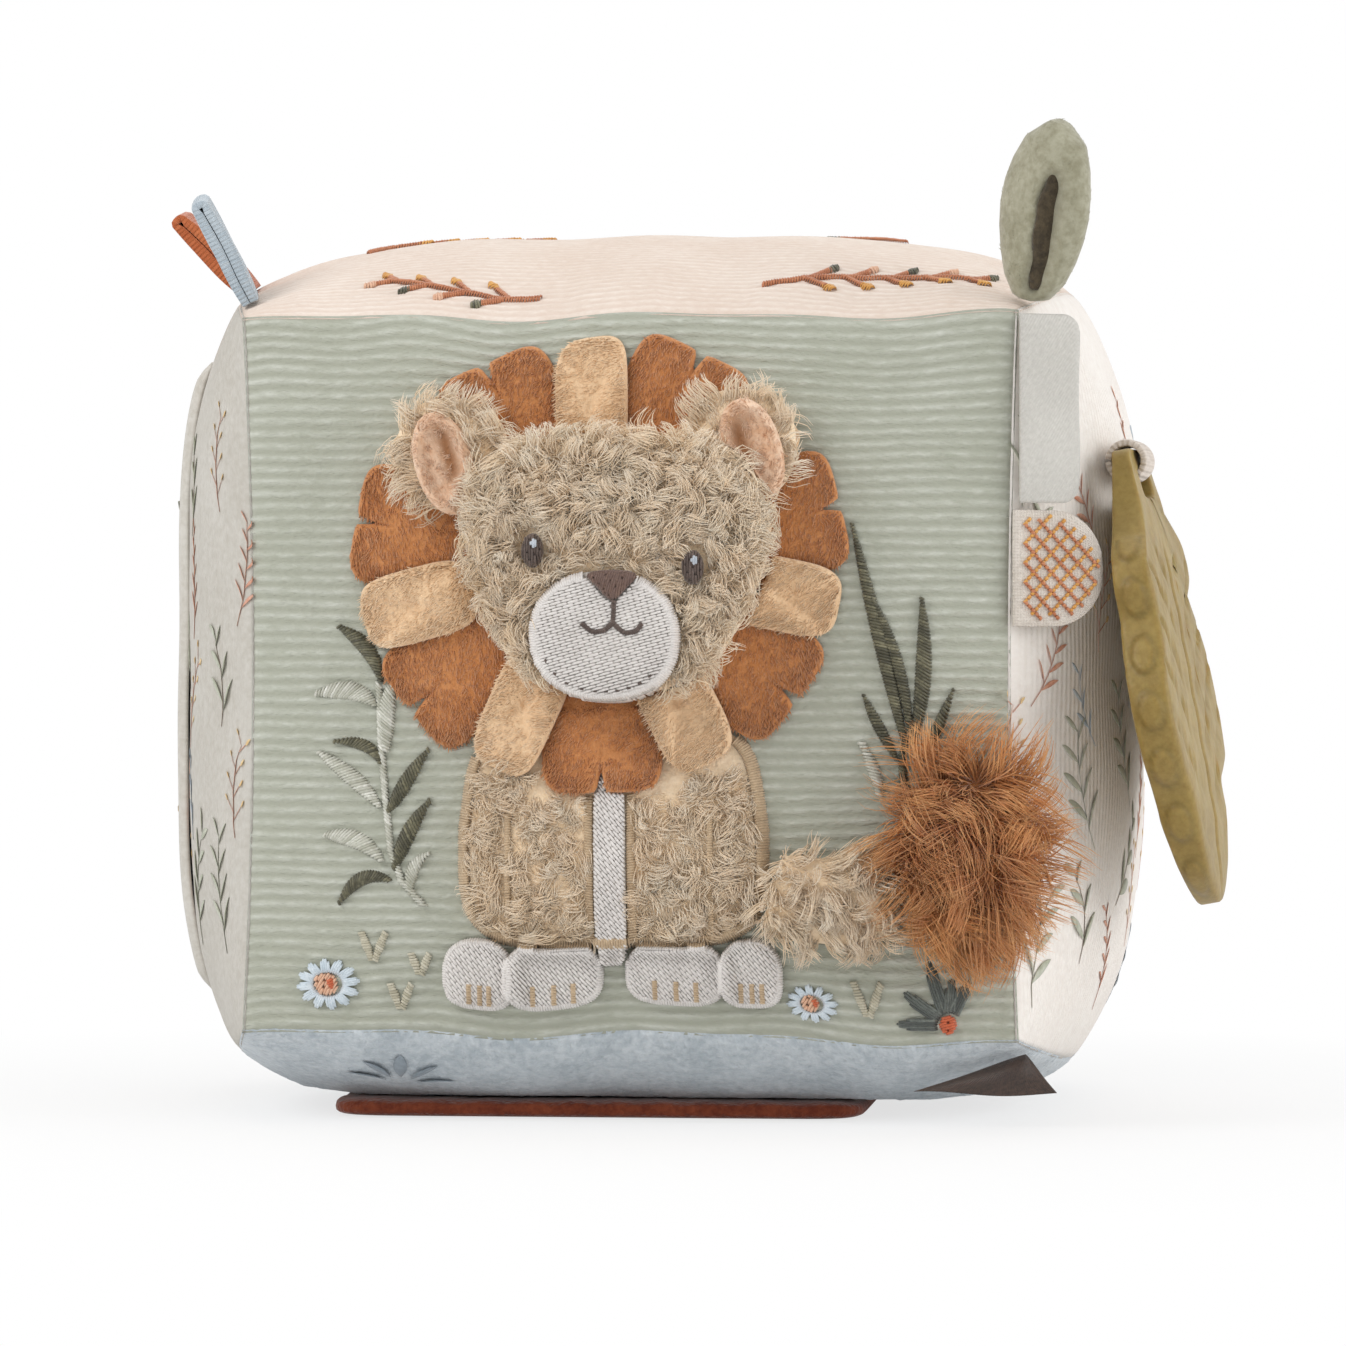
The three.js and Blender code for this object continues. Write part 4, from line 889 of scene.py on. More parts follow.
def sewEar(side, ear):
    sign = -1 if side == "left" else 1
    name = f"ear_{side}"
    pad = {"at": ear["at"], "outline": ovalOutline(9.2, 9.0, 2.4), "thick": 1.7, "rim": 1.2, "level": True}
    pad["outline"] = trimOutline(pad, head, 0.4)
    sewPad(name + "_plush", pad, "beigeBacking", name, "beige_fur", name, around=60, rings=20)
    cup = {"at": ear["cup"], "outline": turnedOutline(ovalOutline(4.8, 8.4, 2.1), ear["turn"]), "thick": 0.1,
           "rim": 0.6, "cup": 2.0}
    cup["outline"] = trimOutline(cup, head, 0.8)
    u, v = spotsOn(pad, 5.0, 80 + sign, avoid=[(cup, -0.6)])
    comb = combFrom((ear["at"][0] - 3 * sign, ear["at"][1] - 4))
    coatOver(name + "_curls", u, v, comb, earCoat, "beigeFur", 82 + sign, name, "beige_fur")
    lining = sewPad(name + "_cup", cup, "peachVelour", name, "peach_velour", f"ear_lining_{side}",
                    around=60, rings=24)
    place = readPoints(lining.data)
    x, y = place[:, 0] / mm - cup["at"][0], place[:, 2] / mm - block["middle"] - cup["at"][1]
    # The shade paints the slanted hollow of the cup brown: painted shade
    storeShare(lining.data, "shade", 1 - earHollow(x, y, ear, sign, 1.5))
    u, v = spotsOn(cup, 6.0, 86 + sign)
    bare = earHollow(u - cup["at"][0], v - cup["at"][1], ear, sign, 1.3) < 0.6
    coatOver(name + "_nap", u[bare], v[bare], combTo(90), earNap, "peachNap", 88 + sign, name,
             "peach_velour")


for side, ear in earPlaces.items():
    sewEar(side, ear)
print("ears sewn")

sewPad("head_plush", head, "beigeBacking", "block", "beige_fur", "lion_head", around=110, rings=40)
sewPad("muzzle_cloth", muzzle, "whiteBacking", "block", "white_thread", "muzzle", around=80, rings=20)
eyePads = {side: {"at": at, "outline": ovalOutline(1.75, 2.75), "thick": 0.9, "rim": 1.5}
           for side, at in eyePlaces.items()}
bareSpots = [(muzzle, 0.2)] + [(pad, 1.7) for pad in eyePads.values()]
for half in range(3):
    u, v = spotsOn(head, 3.7, 91 + half, avoid=bareSpots)
    comb = combFrom((muzzle["at"][0], muzzle["at"][1] + 2))
    coatOver(f"head_curls_{half + 1}", u, v, comb, headCoat, "beigeFur", 95 + half, "block", "beige_fur")
for side, pad in eyePads.items():
    u, v = spotsOn({**pad, "outline": ovalOutline(3.7, 4.7)}, 9, 98, avoid=[(pad, 0.35)])
    coatOver(f"eye_{side}_fringe", u, v, combFrom(pad["at"]), fringeCoat, "beigeFur", 99, "block",
             "beige_fur")
    sewPad(f"eye_{side}_cloth", pad, "eyeThread", "block", "brown_thread", f"eye_{side}", around=32,
           rings=12)
sewPad("nose_cloth", nose, "noseThread", "block", "brown_thread", "nose", around=40, rings=12)
print("head sewn")
# Tail, tuft and the pieces sewn into the seams
ribbonWeave = toned(rough=0.6, grain=0.6, mottle=8, coords="UV",
                    bumps=[("wave", 0.7, 0.14, (0, 0, 90), even)])
flapWeave = toned(rough=0.85, grain=1.2, mottle=14, coords="UV", bumps=jerseyKnit)
sewnLooks = {
    # velour of the leaf, darkened towards its slit as painted shade, and the short nap over it
    "leafVelour": toned("#918d75", "#adaa94", "#6b6551", attribute="shade", rough=0.8, grain=1.3, mottle=8,
        sheen=0.4, bumps=[("noise", 0.8, 0.22, flat, even)]),
    "leafNap": toned("#99957d", "#b3b09a", rough=0.8, grain=1.3, mottle=8, sheen=0.3),
    # the slit's lining: very dark, partly its own olive colour and partly painted shade inside the slit
    "oliveLining": toned("#3a3226", "#564b39", rough=0.85, grain=1.2, mottle=4, sheen=0.3,
        bumps=[("noise", 1.0, 0.5, flat, even)]),
    # grosgrain ribbon: fine ribs across its width
    "blueRibbon": toned("#a7b5bf", "#c1cbd2", like=ribbonWeave),
    "rustRibbon": toned("#b0572b", "#ca7345", like=ribbonWeave),
    # satin tape: slanted fine twill and a broad soft shine
    "whiteSatin": toned("#c2bfb8", "#d2cfc8", rough=0.38, grain=0.7, mottle=16, coords="UV", sheen=0.1,
        gloss=0.5, bumps=[("wave", 0.45, 0.05, (0, 0, 32), even)]),
    # the round tag's plain weave: threads both ways
    "wovenCotton": toned("#d2c8bc", "#e5dcd2", rough=0.7, grain=0.6, mottle=10, coords="UV",
        bumps=[("wave", 0.5, 0.07, flat, even), ("wave", 0.5, 0.07, (0, 0, 90), even)]),
    "ochreThread": toned("#c98a3a", "#e4ad5c", like=plainThread),
    "clayThread": toned("#b06a45", "#cd8a63", like=plainThread),
    # dark satin of the folded loop: a narrow shine
    "brownSatin": toned("#2e2018", "#4b362a", rough=0.27, mottle=7, coords="UV", gloss=0.55,
        bumps=[("wave", 0.5, 0.06, (0, 0, 20), even)]),
    # short rust velour of the mirror's rim
    "rustVelour": toned("#743019", "#964a2c", rough=0.8, grain=1.2, mottle=6, sheen=0.35,
        bumps=[("noise", 0.9, 0.4, flat, even)]),
    # the flap's two cloths: the side panel's jersey, plain inside
    "flapCotton": toned("#d3cdc3", "#e2ddd4", like=flapWeave),
    "flapPrint": toned("#c6c1b7", "#d6d2ca", like=flapWeave),
    # crackling film: thin, crumpled, shiny
    "crackleFilm": toned("#cfd5d8", "#e8ecee", rough=0.25, grain=5, gloss=0.7, sheen=0.0,
        bumps=[("noise", 6, 0.5, flat, even)]),
    # moulded silicone: waxy, with a faint skin and dust-fine grain; its darker third tone is painted shade in
    # the veins and round the ovals
    "oliveSilicone": toned("#8b7338", "#9e8647", "#685524", attribute="shade", rough=0.48, grain=1.2,
        mottle=14, sheen=0.08, gloss=0.45,
        bumps=[("noise", 0.5, 0.04, flat, even), ("noise", 5, 0.12, flat, even)],
        sockets={"Subsurface Weight": 0.12, "Subsurface Scale": 0.003}),
    # cotton tape: fine cords across it
    "cottonWebbing": toned("#d3c6b9", "#e6dbd0", rough=0.8, grain=0.7, mottle=5, coords="UV",
        bumps=[("wave", 0.8, 0.2, (0, 0, 90), even)]),
    # open-cell foam, matt and pitted
    "paleFoam": toned("#e3ddca", "#f0ebdc", rough=0.95, grain=0.9, bumps=[("noise", 1.1, 0.5, flat, even)]),
    # safety mirror of metallised film: bright, with a slow ripple
    "mirrorFilm": toned("#c9ced2", "#dfe3e6", rough=0.08, grain=8, mottle=30, sheen=0.0, gloss=0.6,
        sockets={"Metallic": 1.0}, bumps=[("noise", 22, 0.05, flat, even)]),
    # moulded polypropylene of the rattle and its beads
    "rattlePlastic": toned("#e8e4da", "#f6f3eb", rough=0.35, grain=1.2, sheen=0.0, gloss=0.5,
        bumps=[("noise", 1.5, 0.03, flat, even)]),
    "beadPlastic": toned("#b9552f", "#d0683f", rough=0.3, grain=0.6, mottle=2, sheen=0.0, gloss=0.5,
        bumps=[("noise", 0.6, 0.02, flat, even)]),
}
addMaterials(sewnLooks)


# A closed thin sheet: a and b run over it from -1 to 1 and side is its lower or upper surface;
# place(a, b, side) gives metres and size is the sheet's own millimetres, kept as its map
def layers(name, cells, place, size, finish):
    bm = bmesh.new()
    bmesh.ops.create_grid(bm, x_segments=cells[0], y_segments=cells[1], size=1)
    copied = bmesh.ops.duplicate(bm, geom=bm.faces[:])["geom"]
    lower = [g for g in copied if isinstance(g, bmesh.types.BMFace)]
    for v in {v for f in lower for v in f.verts}:
        v.co.z = -0.2
    for v in bm.verts:
        v.co.z = 0.2 if v.co.z > -0.1 else -0.2
    bmesh.ops.reverse_faces(bm, faces=lower)
    bmesh.ops.bridge_loops(bm, edges=[e for e in bm.edges if e.is_boundary])
    bmesh.ops.recalc_face_normals(bm, faces=bm.faces[:])
    mesh = meshFrom(bm, name)
    grid = readPoints(mesh)
    a, b, side = grid[:, 0], grid[:, 1], np.sign(grid[:, 2])
    writePoints(mesh, place(a, b, side))
    storeMap(mesh, a * size[0] / 2, b * size[1] / 2)
    outwards(mesh)
    return meshObject(name, mesh, finish)


# Turns a closed mesh right side out
def outwards(mesh):
    bm = bmesh.new()
    bm.from_mesh(mesh)
    if bm.calc_volume(signed=True) < 0:
        bmesh.ops.reverse_faces(bm, faces=bm.faces[:])
    bm.to_mesh(mesh)
    bm.free()


# A closed ring: theta runs along it and phi round its section
def ringMesh(name, around, section, place, finish):
    bm = bmesh.new()
    turn = Matrix.Translation((1, 0, 0)) @ Matrix.Rotation(math.pi / 2, 4, "X")
    made = bmesh.ops.create_circle(bm, segments=section, radius=0.4, matrix=turn)
    bmesh.ops.spin(bm, geom=bm.verts[:] + bm.edges[:], axis=(0, 0, 1), cent=(0, 0, 0), angle=2 * math.pi,
                   steps=around, use_merge=True)
    bmesh.ops.remove_doubles(bm, verts=bm.verts[:], dist=1e-5)
    bmesh.ops.recalc_face_normals(bm, faces=bm.faces[:])
    mesh = meshFrom(bm, name)
    p = readPoints(mesh)
    theta = np.arctan2(p[:, 1], p[:, 0])
    phi = np.arctan2(p[:, 2], np.hypot(p[:, 0], p[:, 1]) - 1)
    writePoints(mesh, place(theta, phi))
    outwards(mesh)
    return meshObject(name, mesh, finish), theta, phi


# A closed ball whose points are placed by angle round and height from 0 to 1
def ballMesh(name, around, rings, place, finish):
    bm = bmesh.new()
    bmesh.ops.create_uvsphere(bm, u_segments=around, v_segments=rings, radius=1)
    mesh = meshFrom(bm, name)
    p = readPoints(mesh)
    angle, t = np.arctan2(p[:, 1], p[:, 0]), 0.5 + np.arcsin(np.clip(p[:, 2], -1, 1)) / math.pi
    writePoints(mesh, place(angle, t))
    outwards(mesh)
    return meshObject(name, mesh, finish), angle, t


# The same surface as a solid, with its points merged and its faces refined
def refinedCopy(name, node, finish, cuts):
    source = bpy.data.objects[node]
    bm = bmesh.new()
    bm.from_mesh(source.data)
    bm.transform(source.matrix_world)
    bmesh.ops.remove_doubles(bm, verts=bm.verts[:], dist=1e-6)
    bmesh.ops.subdivide_edges(bm, edges=bm.edges[:], cuts=cuts, use_grid_fill=True)
    return meshObject(name, meshFrom(bm, name), finish)


# A mesh's faces as triangles in an order that is the same in each run, which an operator's isn't
def steadyTriangles(mesh):
    triangles = []
    for face in mesh.polygons:
        corners = list(face.vertices)
        first = corners.index(min(corners))
        corners = corners[first:] + corners[:first]
        triangles += [(corners[0], *pair) for pair in zip(corners[1:-1], corners[2:])]
    return np.array(sorted(triangles))


# Spots spread over any mesh, with the outward direction at each
def spotsOnMesh(mesh, perSquare, seed):
    draw = np.random.RandomState(seed)
    p = readPoints(mesh)[steadyTriangles(mesh)]
    normal = np.cross(p[:, 1] - p[:, 0], p[:, 2] - p[:, 0])
    area = np.linalg.norm(normal, axis=1) / 2
    count = int(area.sum() / mm ** 2 * perSquare)
    picked = draw.choice(len(area), count, p=area / area.sum())
    r, s = np.sqrt(draw.uniform(0, 1, count)), draw.uniform(0, 1, count)
    shares = (1 - r, r * (1 - s), r * s)
    spots = sum(p[picked, k] * share[:, None] for k, share in enumerate(shares))
    return spots, normal[picked] / np.maximum(2 * area[picked], 1e-15)[:, None]


# Directions along a surface, nearest to a wished one
def alongSurface(out, wish):
    way = np.asarray(wish, float) - out * (np.asarray(wish, float) * out).sum(1, keepdims=True)
    return way / np.maximum(np.linalg.norm(way, axis=1, keepdims=True), 1e-9)


# Turned about the upright axis and moved, as the tags are
def turnedAt(x, y, z, degrees, at):
    a = math.radians(degrees)
    x, y = x * math.cos(a) - y * math.sin(a), x * math.sin(a) + y * math.cos(a)
    return np.stack([x, y, z + 0 * x], -1) * mm + np.asarray(at)


tail = {"from": (23.8, -34.2), "bend": (33, -36.6), "to": (43.0, -35.2), "wide": 13.4, "thick": 5.2,
        "ends": 0.9, "lift": 3.2, "comb": (0.75, 0, -0.65), "backFree": 0.35}


def tailLine(t):
    a, b, c = (np.array(tail[k], float) for k in ("from", "bend", "to"))
    t = np.asarray(t)[:, None]
    return (1 - t) ** 2 * a + 2 * t * (1 - t) * b + t ** 2 * c, (1 - t) * (b - a) + t * (c - b)


def tailPlace(angle, t):
    p, way = tailLine(t)
    way = way / np.linalg.norm(way, axis=1, keepdims=True)
    rounded = np.sqrt(np.clip(np.minimum(t, 1 - t) / 0.06, 0, 1))
    size = (tail["ends"] + (1 - tail["ends"]) * np.sin(math.pi * t)) * rounded
    side = size * tail["wide"] / 2 * np.cos(angle)
    lift = tail["lift"] + size * tail["thick"] / 2 * np.sin(angle)
    return onFace("front", p[:, 0] - way[:, 1] * side, p[:, 1] + way[:, 0] * side, lift)


piece, _, _ = ballMesh("tail_plush", 40, 40, tailPlace, "beigeBacking")
settle(piece, "tail", "beige_fur", "tail")
p, out = spotsOnMesh(piece.data, 6.0, 121)
free = out[:, 1] < tail["backFree"]
p, out = p[free], out[free]
comb = alongSurface(out, np.tile(tail["comb"], (len(p), 1)))
settle(growFur("tail_curls", p, out, comb, tailCoat, "beigeFur", 122), "tail", "beige_fur")
sewPad("tuft_plush", tuft, "caramelBacking", "tail", "caramel_fur", "tail_tuft", around=64, rings=24)
for half in (1, 2):
    u, v = spotsOn(tuft, 4.4, 130 + half)
    coatOver(f"tuft_locks_{half}", u, v, combFrom((57, -17), 8), tuftCoat, "caramelFur", 133 + half,
             "tail", "caramel_fur")
print("tail and tuft made")


# Where a piece stands on the top seam: its foot, the seam's direction, and up as it leans
def topSeam(side, back, lean, lift):
    foot = facePoints("top", side, back / block["halfDepth"] - 1)
    along = facePoints("top", side, (back + block["cloth"]) / block["halfDepth"] - 1) - foot
    along = along / np.linalg.norm(along)
    tip = math.radians(lean)
    up = np.array([math.sin(tip), 0, math.cos(tip)])
    across = np.cross(along, up)
    across = across / np.linalg.norm(across)
    up = np.cross(across, along)
    return foot + up * lift * mm, across, along, up


leaf = {"tall": 29.8, "wide": 16.6, "deep": 9.6, "lean": 12, "turn": -24, "back": 6, "lift": 0.5,
        "slit": -58, "widths": (0.3, 0.66, 0.84, 0.95, 1, 0.97, 0.86, 0.66, 0.4), "slitDeep": 3.2,
        "slitWide": 2.0, "from": 0.02, "upTo": 0.76, "liningHalf": 1.8}
leafCoat = {**velourCoat, "length": 0.8, "radius": 0.08, "lean": 70, "wild": 30}
foot, across, along, up = topSeam(1, leaf["back"], leaf["lean"], leaf["lift"])


def leafPoint(x, y, z):
    a = math.radians(leaf["turn"])
    x, y = x * math.cos(a) - y * math.sin(a), x * math.sin(a) + y * math.cos(a)
    return foot + (x[:, None] * across + y[:, None] * along + z[:, None] * up) * mm


def leafRadii(t):
    rounded = np.sqrt(np.clip(np.minimum(t / 0.03, (1 - t) / 0.12), 0, 1))
    share = np.interp(t, np.linspace(0, 1, 9), leaf["widths"]) * rounded
    return share * leaf["wide"] / 2, np.sqrt(share) * leaf["deep"] / 2 * np.clip(share * 5, 0, 1)


def slitShare(t):
    return np.clip((t - leaf["from"]) / 0.1, 0, 1) * np.clip((leaf["upTo"] - t) / 0.12, 0, 1)


def slitWobble(t):
    return 0.35 * np.sin(t * 9) + 0.12 * np.sin(t * 31)


# How far round from the slit's middle, in millimetres
def fromSlit(angle, t):
    wide, deep = leafRadii(t)
    return np.angle(np.exp(1j * (angle - math.radians(leaf["slit"])))) * (wide + deep) / 2


def leafPlace(angle, t):
    wide, deep = leafRadii(t)
    x, y = wide * np.cos(angle), deep * np.sin(angle)
    away = fromSlit(angle, t) - slitWobble(t)
    groove = np.exp(-(away / leaf["slitWide"]) ** 2) * slitShare(t)
    lips = 0.5 * np.exp(-((abs(away) - 2.3) / 1.1) ** 2) * slitShare(t)
    puff = 0.2 * np.sin(3 * angle + 5 * t) * np.sin(math.pi * t) + lips
    size = np.maximum(np.hypot(x, y), 0.01)
    scale = 1 + (puff - leaf["slitDeep"] * groove) / size * np.clip(size / 3, 0, 1)
    return leafPoint(x * scale, y * scale, t * leaf["tall"])


piece, angle, t = ballMesh("leaf_pod", 120, 70, leafPlace, "leafVelour")
# The shade darkens the velour towards the slit: painted shade
storeShare(piece.data, "shade", 1 - 0.9 * np.exp(-(fromSlit(angle, t) / 1.5) ** 2) * slitShare(t))
settle(piece, "leaf", "leaf_velour", "leaf_outer")
p, out = spotsOnMesh(piece.data, 4.0, 141)
comb = alongSurface(out, np.tile((0.1, 0, 1.0), (len(p), 1)))
settle(growFur("leaf_nap", p, out, comb, leafCoat, "leafNap", 142), "leaf", "leaf_velour")


def liningPlace(angle, t):
    long = leaf["upTo"] - leaf["from"]
    t = leaf["from"] + 0.05 + (long - 0.08) * t
    wide, deep = leafRadii(t)
    middle = math.radians(leaf["slit"])
    x, y = wide * math.cos(middle), deep * math.sin(middle)
    size = np.hypot(x, y)
    half = leaf["liningHalf"] * np.sqrt(np.clip(np.sin(math.pi * (t - leaf["from"]) / long), 0, 1))
    outward = size - 2.0 + 0.8 * np.sin(angle) + 0.12 * np.sin(t * 23)
    sideways = half * np.cos(angle) + slitWobble(t)
    ux, uy = x / size, y / size
    return leafPoint(ux * outward - uy * sideways, uy * outward + ux * sideways, t * leaf["tall"])


piece, _, _ = ballMesh("leaf_inside", 32, 60, liningPlace, "oliveLining")
settle(piece, "leaf", "olive_lining", "leaf_lining")
print("leaf made")

folded = {"thick": 1.4, "fold": 0.3, "legs": 0.1, "flatter": 0.55, "footAt": (2.2, 0, 0.8), "layerGap": 0.07}
ribbons = {
    "blue": {**folded, "tall": 18, "wide": 12, "swell": 0.35, "lean": -27, "back": 8, "lift": 0.25},
    "rust": {**folded, "tall": 17, "wide": 14, "swell": 0.6, "lean": -44, "back": 24, "lift": 0.3},
}


# The line of a folded ribbon, from one foot over the fold to the other
def ribbonLine(ribbon):
    reach, base = (ribbon["fold"] + ribbon["thick"]) / 2, (ribbon["legs"] + ribbon["thick"]) / 2
    t = np.linspace(0, 1, 40)
    side = base + (reach - base) * np.sqrt(t) + ribbon["swell"] * np.sin(math.pi * t)
    tall = ribbon["tall"] - reach
    turn = np.linspace(math.pi, 0, 14)[1:-1]
    over = np.sign(np.cos(turn)) * abs(np.cos(turn)) ** ribbon["flatter"]
    x = np.concatenate([-side, reach * over, side[::-1]])
    z = np.concatenate([t * tall, tall + reach * np.sin(turn) ** ribbon["flatter"], t[::-1] * tall])
    return x, z


for colourName, ribbon in ribbons.items():
    foot, across, along, up = topSeam(-1, ribbon["back"] + ribbon["wide"] / 2, ribbon["lean"],
                                      ribbon["lift"])
    foot = foot + np.array(ribbon["footAt"]) * mm
    lineX, lineZ = ribbonLine(ribbon)
    run = np.concatenate([[0], np.cumsum(np.hypot(np.diff(lineX), np.diff(lineZ)))])

    def ribbonPlace(a, b, side):
        s = (b + 1) / 2 * run[-1]
        x, z = np.interp(s, run, lineX), np.interp(s, run, lineZ)
        d = 0.05
        nx = np.interp(s + d, run, lineZ) - np.interp(s - d, run, lineZ)
        nz = -(np.interp(s + d, run, lineX) - np.interp(s - d, run, lineX))
        size = np.maximum(np.hypot(nx, nz), 1e-9)
        thick = ribbon["thick"] / 2 * (1 - 0.25 * abs(a) ** 6)
        leg = np.clip((ribbon["tall"] - 0.8 - z) / 0.5, 0, 1)
        inner = np.where(nx * x > 0, side < 0, side > 0) * leg
        x, z = x + side * thick * nx / size, z + side * thick * nz / size
        x = x * (1 - inner) + np.sign(x) * ribbon["layerGap"] * inner
        wave = 0.15 * np.sin(a * 2.2 + z * 0.35) * np.clip(z / 6, 0, 1)
        y = a * ribbon["wide"] / 2
        return foot + ((x + wave)[:, None] * across + y[:, None] * along + z[:, None] * up) * mm

    name, size = f"ribbon_{colourName}", (ribbon["wide"], run[-1])
    piece = layers(name + "_loop", (24, 110), ribbonPlace, size, colourName + "Ribbon")
    settle(piece, name, f"{colourName}_ribbon", name)

tags = {
    "label": {"reach": 10.4, "tall": 30.2, "thick": 1.2, "above": 42.7, "turn": 26, "round": 3, "from": 0.15,
              "node": "label_blank", "slot": "white_satin", "finish": "whiteSatin"},
    "woven_tag": {"reach": 15.8, "tall": 18.6, "thick": 1.4, "above": 17.2, "turn": 26, "round": 9.0,
                  "from": 0.15, "node": "woven_tag", "slot": "woven_cotton_tag", "finish": "wovenCotton"},
}


def tagAt(tag):
    widest = facePoints("front", 1.0, (tag["above"] + tag["tall"] / 2) / block["halfHeight"])
    forward = (tag["thick"] / 2 + block["seam"]) * mm
    return np.array([widest[0], widest[1] - forward, (block["middle"] + tag["above"]) * mm])


def tagPoint(tag, x, z, lift):
    wave = 0.25 * (x / tag["reach"]) * np.sin(z * 0.31 + 0.8)
    return turnedAt(x, -lift + wave, z, tag["turn"], tagAt(tag))


def tagHalf(tag, x):
    past = np.clip(x - (tag["reach"] - tag["round"]), 0, tag["round"])
    return tag["tall"] / 2 - tag["round"] + np.sqrt(np.maximum(tag["round"] ** 2 - past ** 2, 0))


for name, tag in tags.items():
    def tagPlace(a, b, side):
        x = tag["from"] + (a + 1) / 2 * (tag["reach"] - tag["from"])
        squash = 1 - 0.5 * np.maximum(abs(a), abs(b)) ** 14
        return tagPoint(tag, x, b * np.maximum(tagHalf(tag, x), 0.3), side * tag["thick"] / 2 * squash)

    piece = layers(name + "_tape", (40, 60), tagPlace, (tag["reach"], tag["tall"]), tag["finish"])
    settle(piece, name, tag["slot"], tag["node"])

loop = {"left": 18, "right": 5, "drop": 6.4, "thick": 2.6, "back": 5.5, "flat": (23, 12),
        "sewnAt": (0.45, 0.9)}
seam = facePoints("bottom", 1.0, 1 - loop["back"] / block["halfDepth"]) / mm


# The satin loop is pinched in the seam and pressed flat on the floor side
def loopPlace(a, b, side):
    t = (b + 1) / 2
    x0, z0 = seam[0] - loop["sewnAt"][0], seam[2] - loop["sewnAt"][1]
    x = x0 + (-loop["left"] + (loop["left"] + loop["right"]) * (a + 1) / 2) * t
    z = z0 - loop["drop"] * t ** 1.1 + 0.35 * np.sin(a * 3 + t * 4) * t
    half = np.minimum(0.25 + 0.5 * t, 0.62) * (0.55 + 0.45 * (1 - abs(a) ** 8))
    y = -block["halfDepth"] + loop["back"] - loop["thick"] / 2 + 0.5 * np.cos(a * 2) * t
    return np.stack([x, y + side * half, z], -1) * mm


piece = layers("brown_loop_satin", (46, 30), loopPlace, loop["flat"], "brownSatin")
settle(piece, "brown_loop", "brown_satin", "brown_loop")
print("ribbons and tags sewn")

flap = {"tall": 97, "thick": 1.3, "film": 0.3, "reach": 60, "fromSeam": 1.6, "gap": 0.35}
# The flap's layers from the block outwards: node, thickness, finish, slot, share of its size, and edge's drop
flapLayers = {
    "flap_inner_cloth": ("flap_back", flap["thick"], "flapCotton", "flap_cloth", 1.0, 0.0),
    "flap_film": ("flap_crinkle_film", flap["film"], "crackleFilm", "crinkle_film", 0.95, 0.0),
    "flap_outer_cloth": ("flap_front", flap["thick"], "flapPrint", "flap_cloth", 1.0, 1.3),
}
flapLift = flap["gap"]


# The side panel's own puckers, fading towards the seams, which the flap's layers follow
def flapPucker(x, y):
    return puckerLift("left", x, y) * 0.6 * np.clip((1 - abs(x)) * 8, 0, 1)


for name, (node, thick, finish, slotName, inset, drop) in flapLayers.items():
    low = flapLift

    def flapPlace(a, b, side):
        a, b = a * inset, b * inset
        _, wide, tall = faces["left"]["halves"]
        seamShare = 1 - flap["fromSeam"] / block["halfDepth"]
        freeShare = seamShare - flap["reach"] / block["halfDepth"]
        x = -seamShare + (a + 1) / 2 * (seamShare - freeShare)
        corner = 1 - 0.06 * np.clip((a - 0.9) / 0.1, 0, 1) ** 2 * abs(b) ** 8
        y = b * corner * flap["tall"] / 2 / tall
        near = np.maximum(abs(a), abs(b)) ** 26
        lift = low + thick * (0.5 + 0.5 * side * (1 - 0.5 * near)) - drop * near
        return facePoints("left", x, y, lift + flapPucker(x, y))

    piece = layers(name, (70, 80), flapPlace, (flap["reach"], flap["tall"]), finish)
    settle(piece, "flap", slotName, node)
    flapLift += thick + flap["gap"]
print("flap sewn")

rim = {"width": 88, "depth": 84, "rim": 12, "thick": 3, "corner": 7, "inner": 4.0, "offset": -7.3}


# The reach of a rectangle with round corners in each direction
def roundedReach(theta, wide, deep, corner):
    c, s = abs(np.cos(theta)), abs(np.sin(theta))
    power = 2 + 2.2 * min(wide, deep) / (2 * corner)
    return ((c / (wide / 2)) ** power + (s / (deep / 2)) ** power) ** (-1 / power)


def rimPlace(theta, phi):
    outer = roundedReach(theta, rim["width"], rim["depth"], rim["corner"])
    inner = roundedReach(theta, rim["width"] - 2 * rim["rim"], rim["depth"] - 2 * rim["rim"], rim["inner"])
    share = 0.5 + 0.5 * np.sign(np.cos(phi)) * abs(np.cos(phi)) ** 0.7
    r = inner + (outer - inner) * share
    height = rim["thick"] * (0.5 + 0.5 * np.sign(np.sin(phi)) * abs(np.sin(phi)) ** 0.55)
    height = height + 0.12 * np.sin(theta * 37) * (np.sin(phi) > 0) * share
    return np.stack([rim["offset"] + r * np.cos(theta), r * np.sin(theta), np.maximum(height, 0)], -1) * mm


piece, _, _ = ringMesh("mirror_rim", 260, 28, rimPlace, "rustVelour")
settle(piece, "block", "rust_velour", "mirror_frame")

teether = {"tall": 73.5, "wide": 52, "thick": 6.8, "bar": 3.2, "tilt": 10.4, "turn": 7.5, "back": -31.5,
           "barShare": 0.45, "fullShare": 0.4, "turnIn": math.radians(26), "square": 12,
           "veinsBelow": 14, "veinPitch": 9.4, "veinHalf": 0.7, "ovalsBelow": 13, "ovalPitch": 9.2,
           "ovalHalf": 2.9}
strap = {"wide": 9, "thick": 0.9, "slack": 0.4, "slotWide": 12, "slotTall": 4.6, "above": 32.5,
         "inward": 0.3}
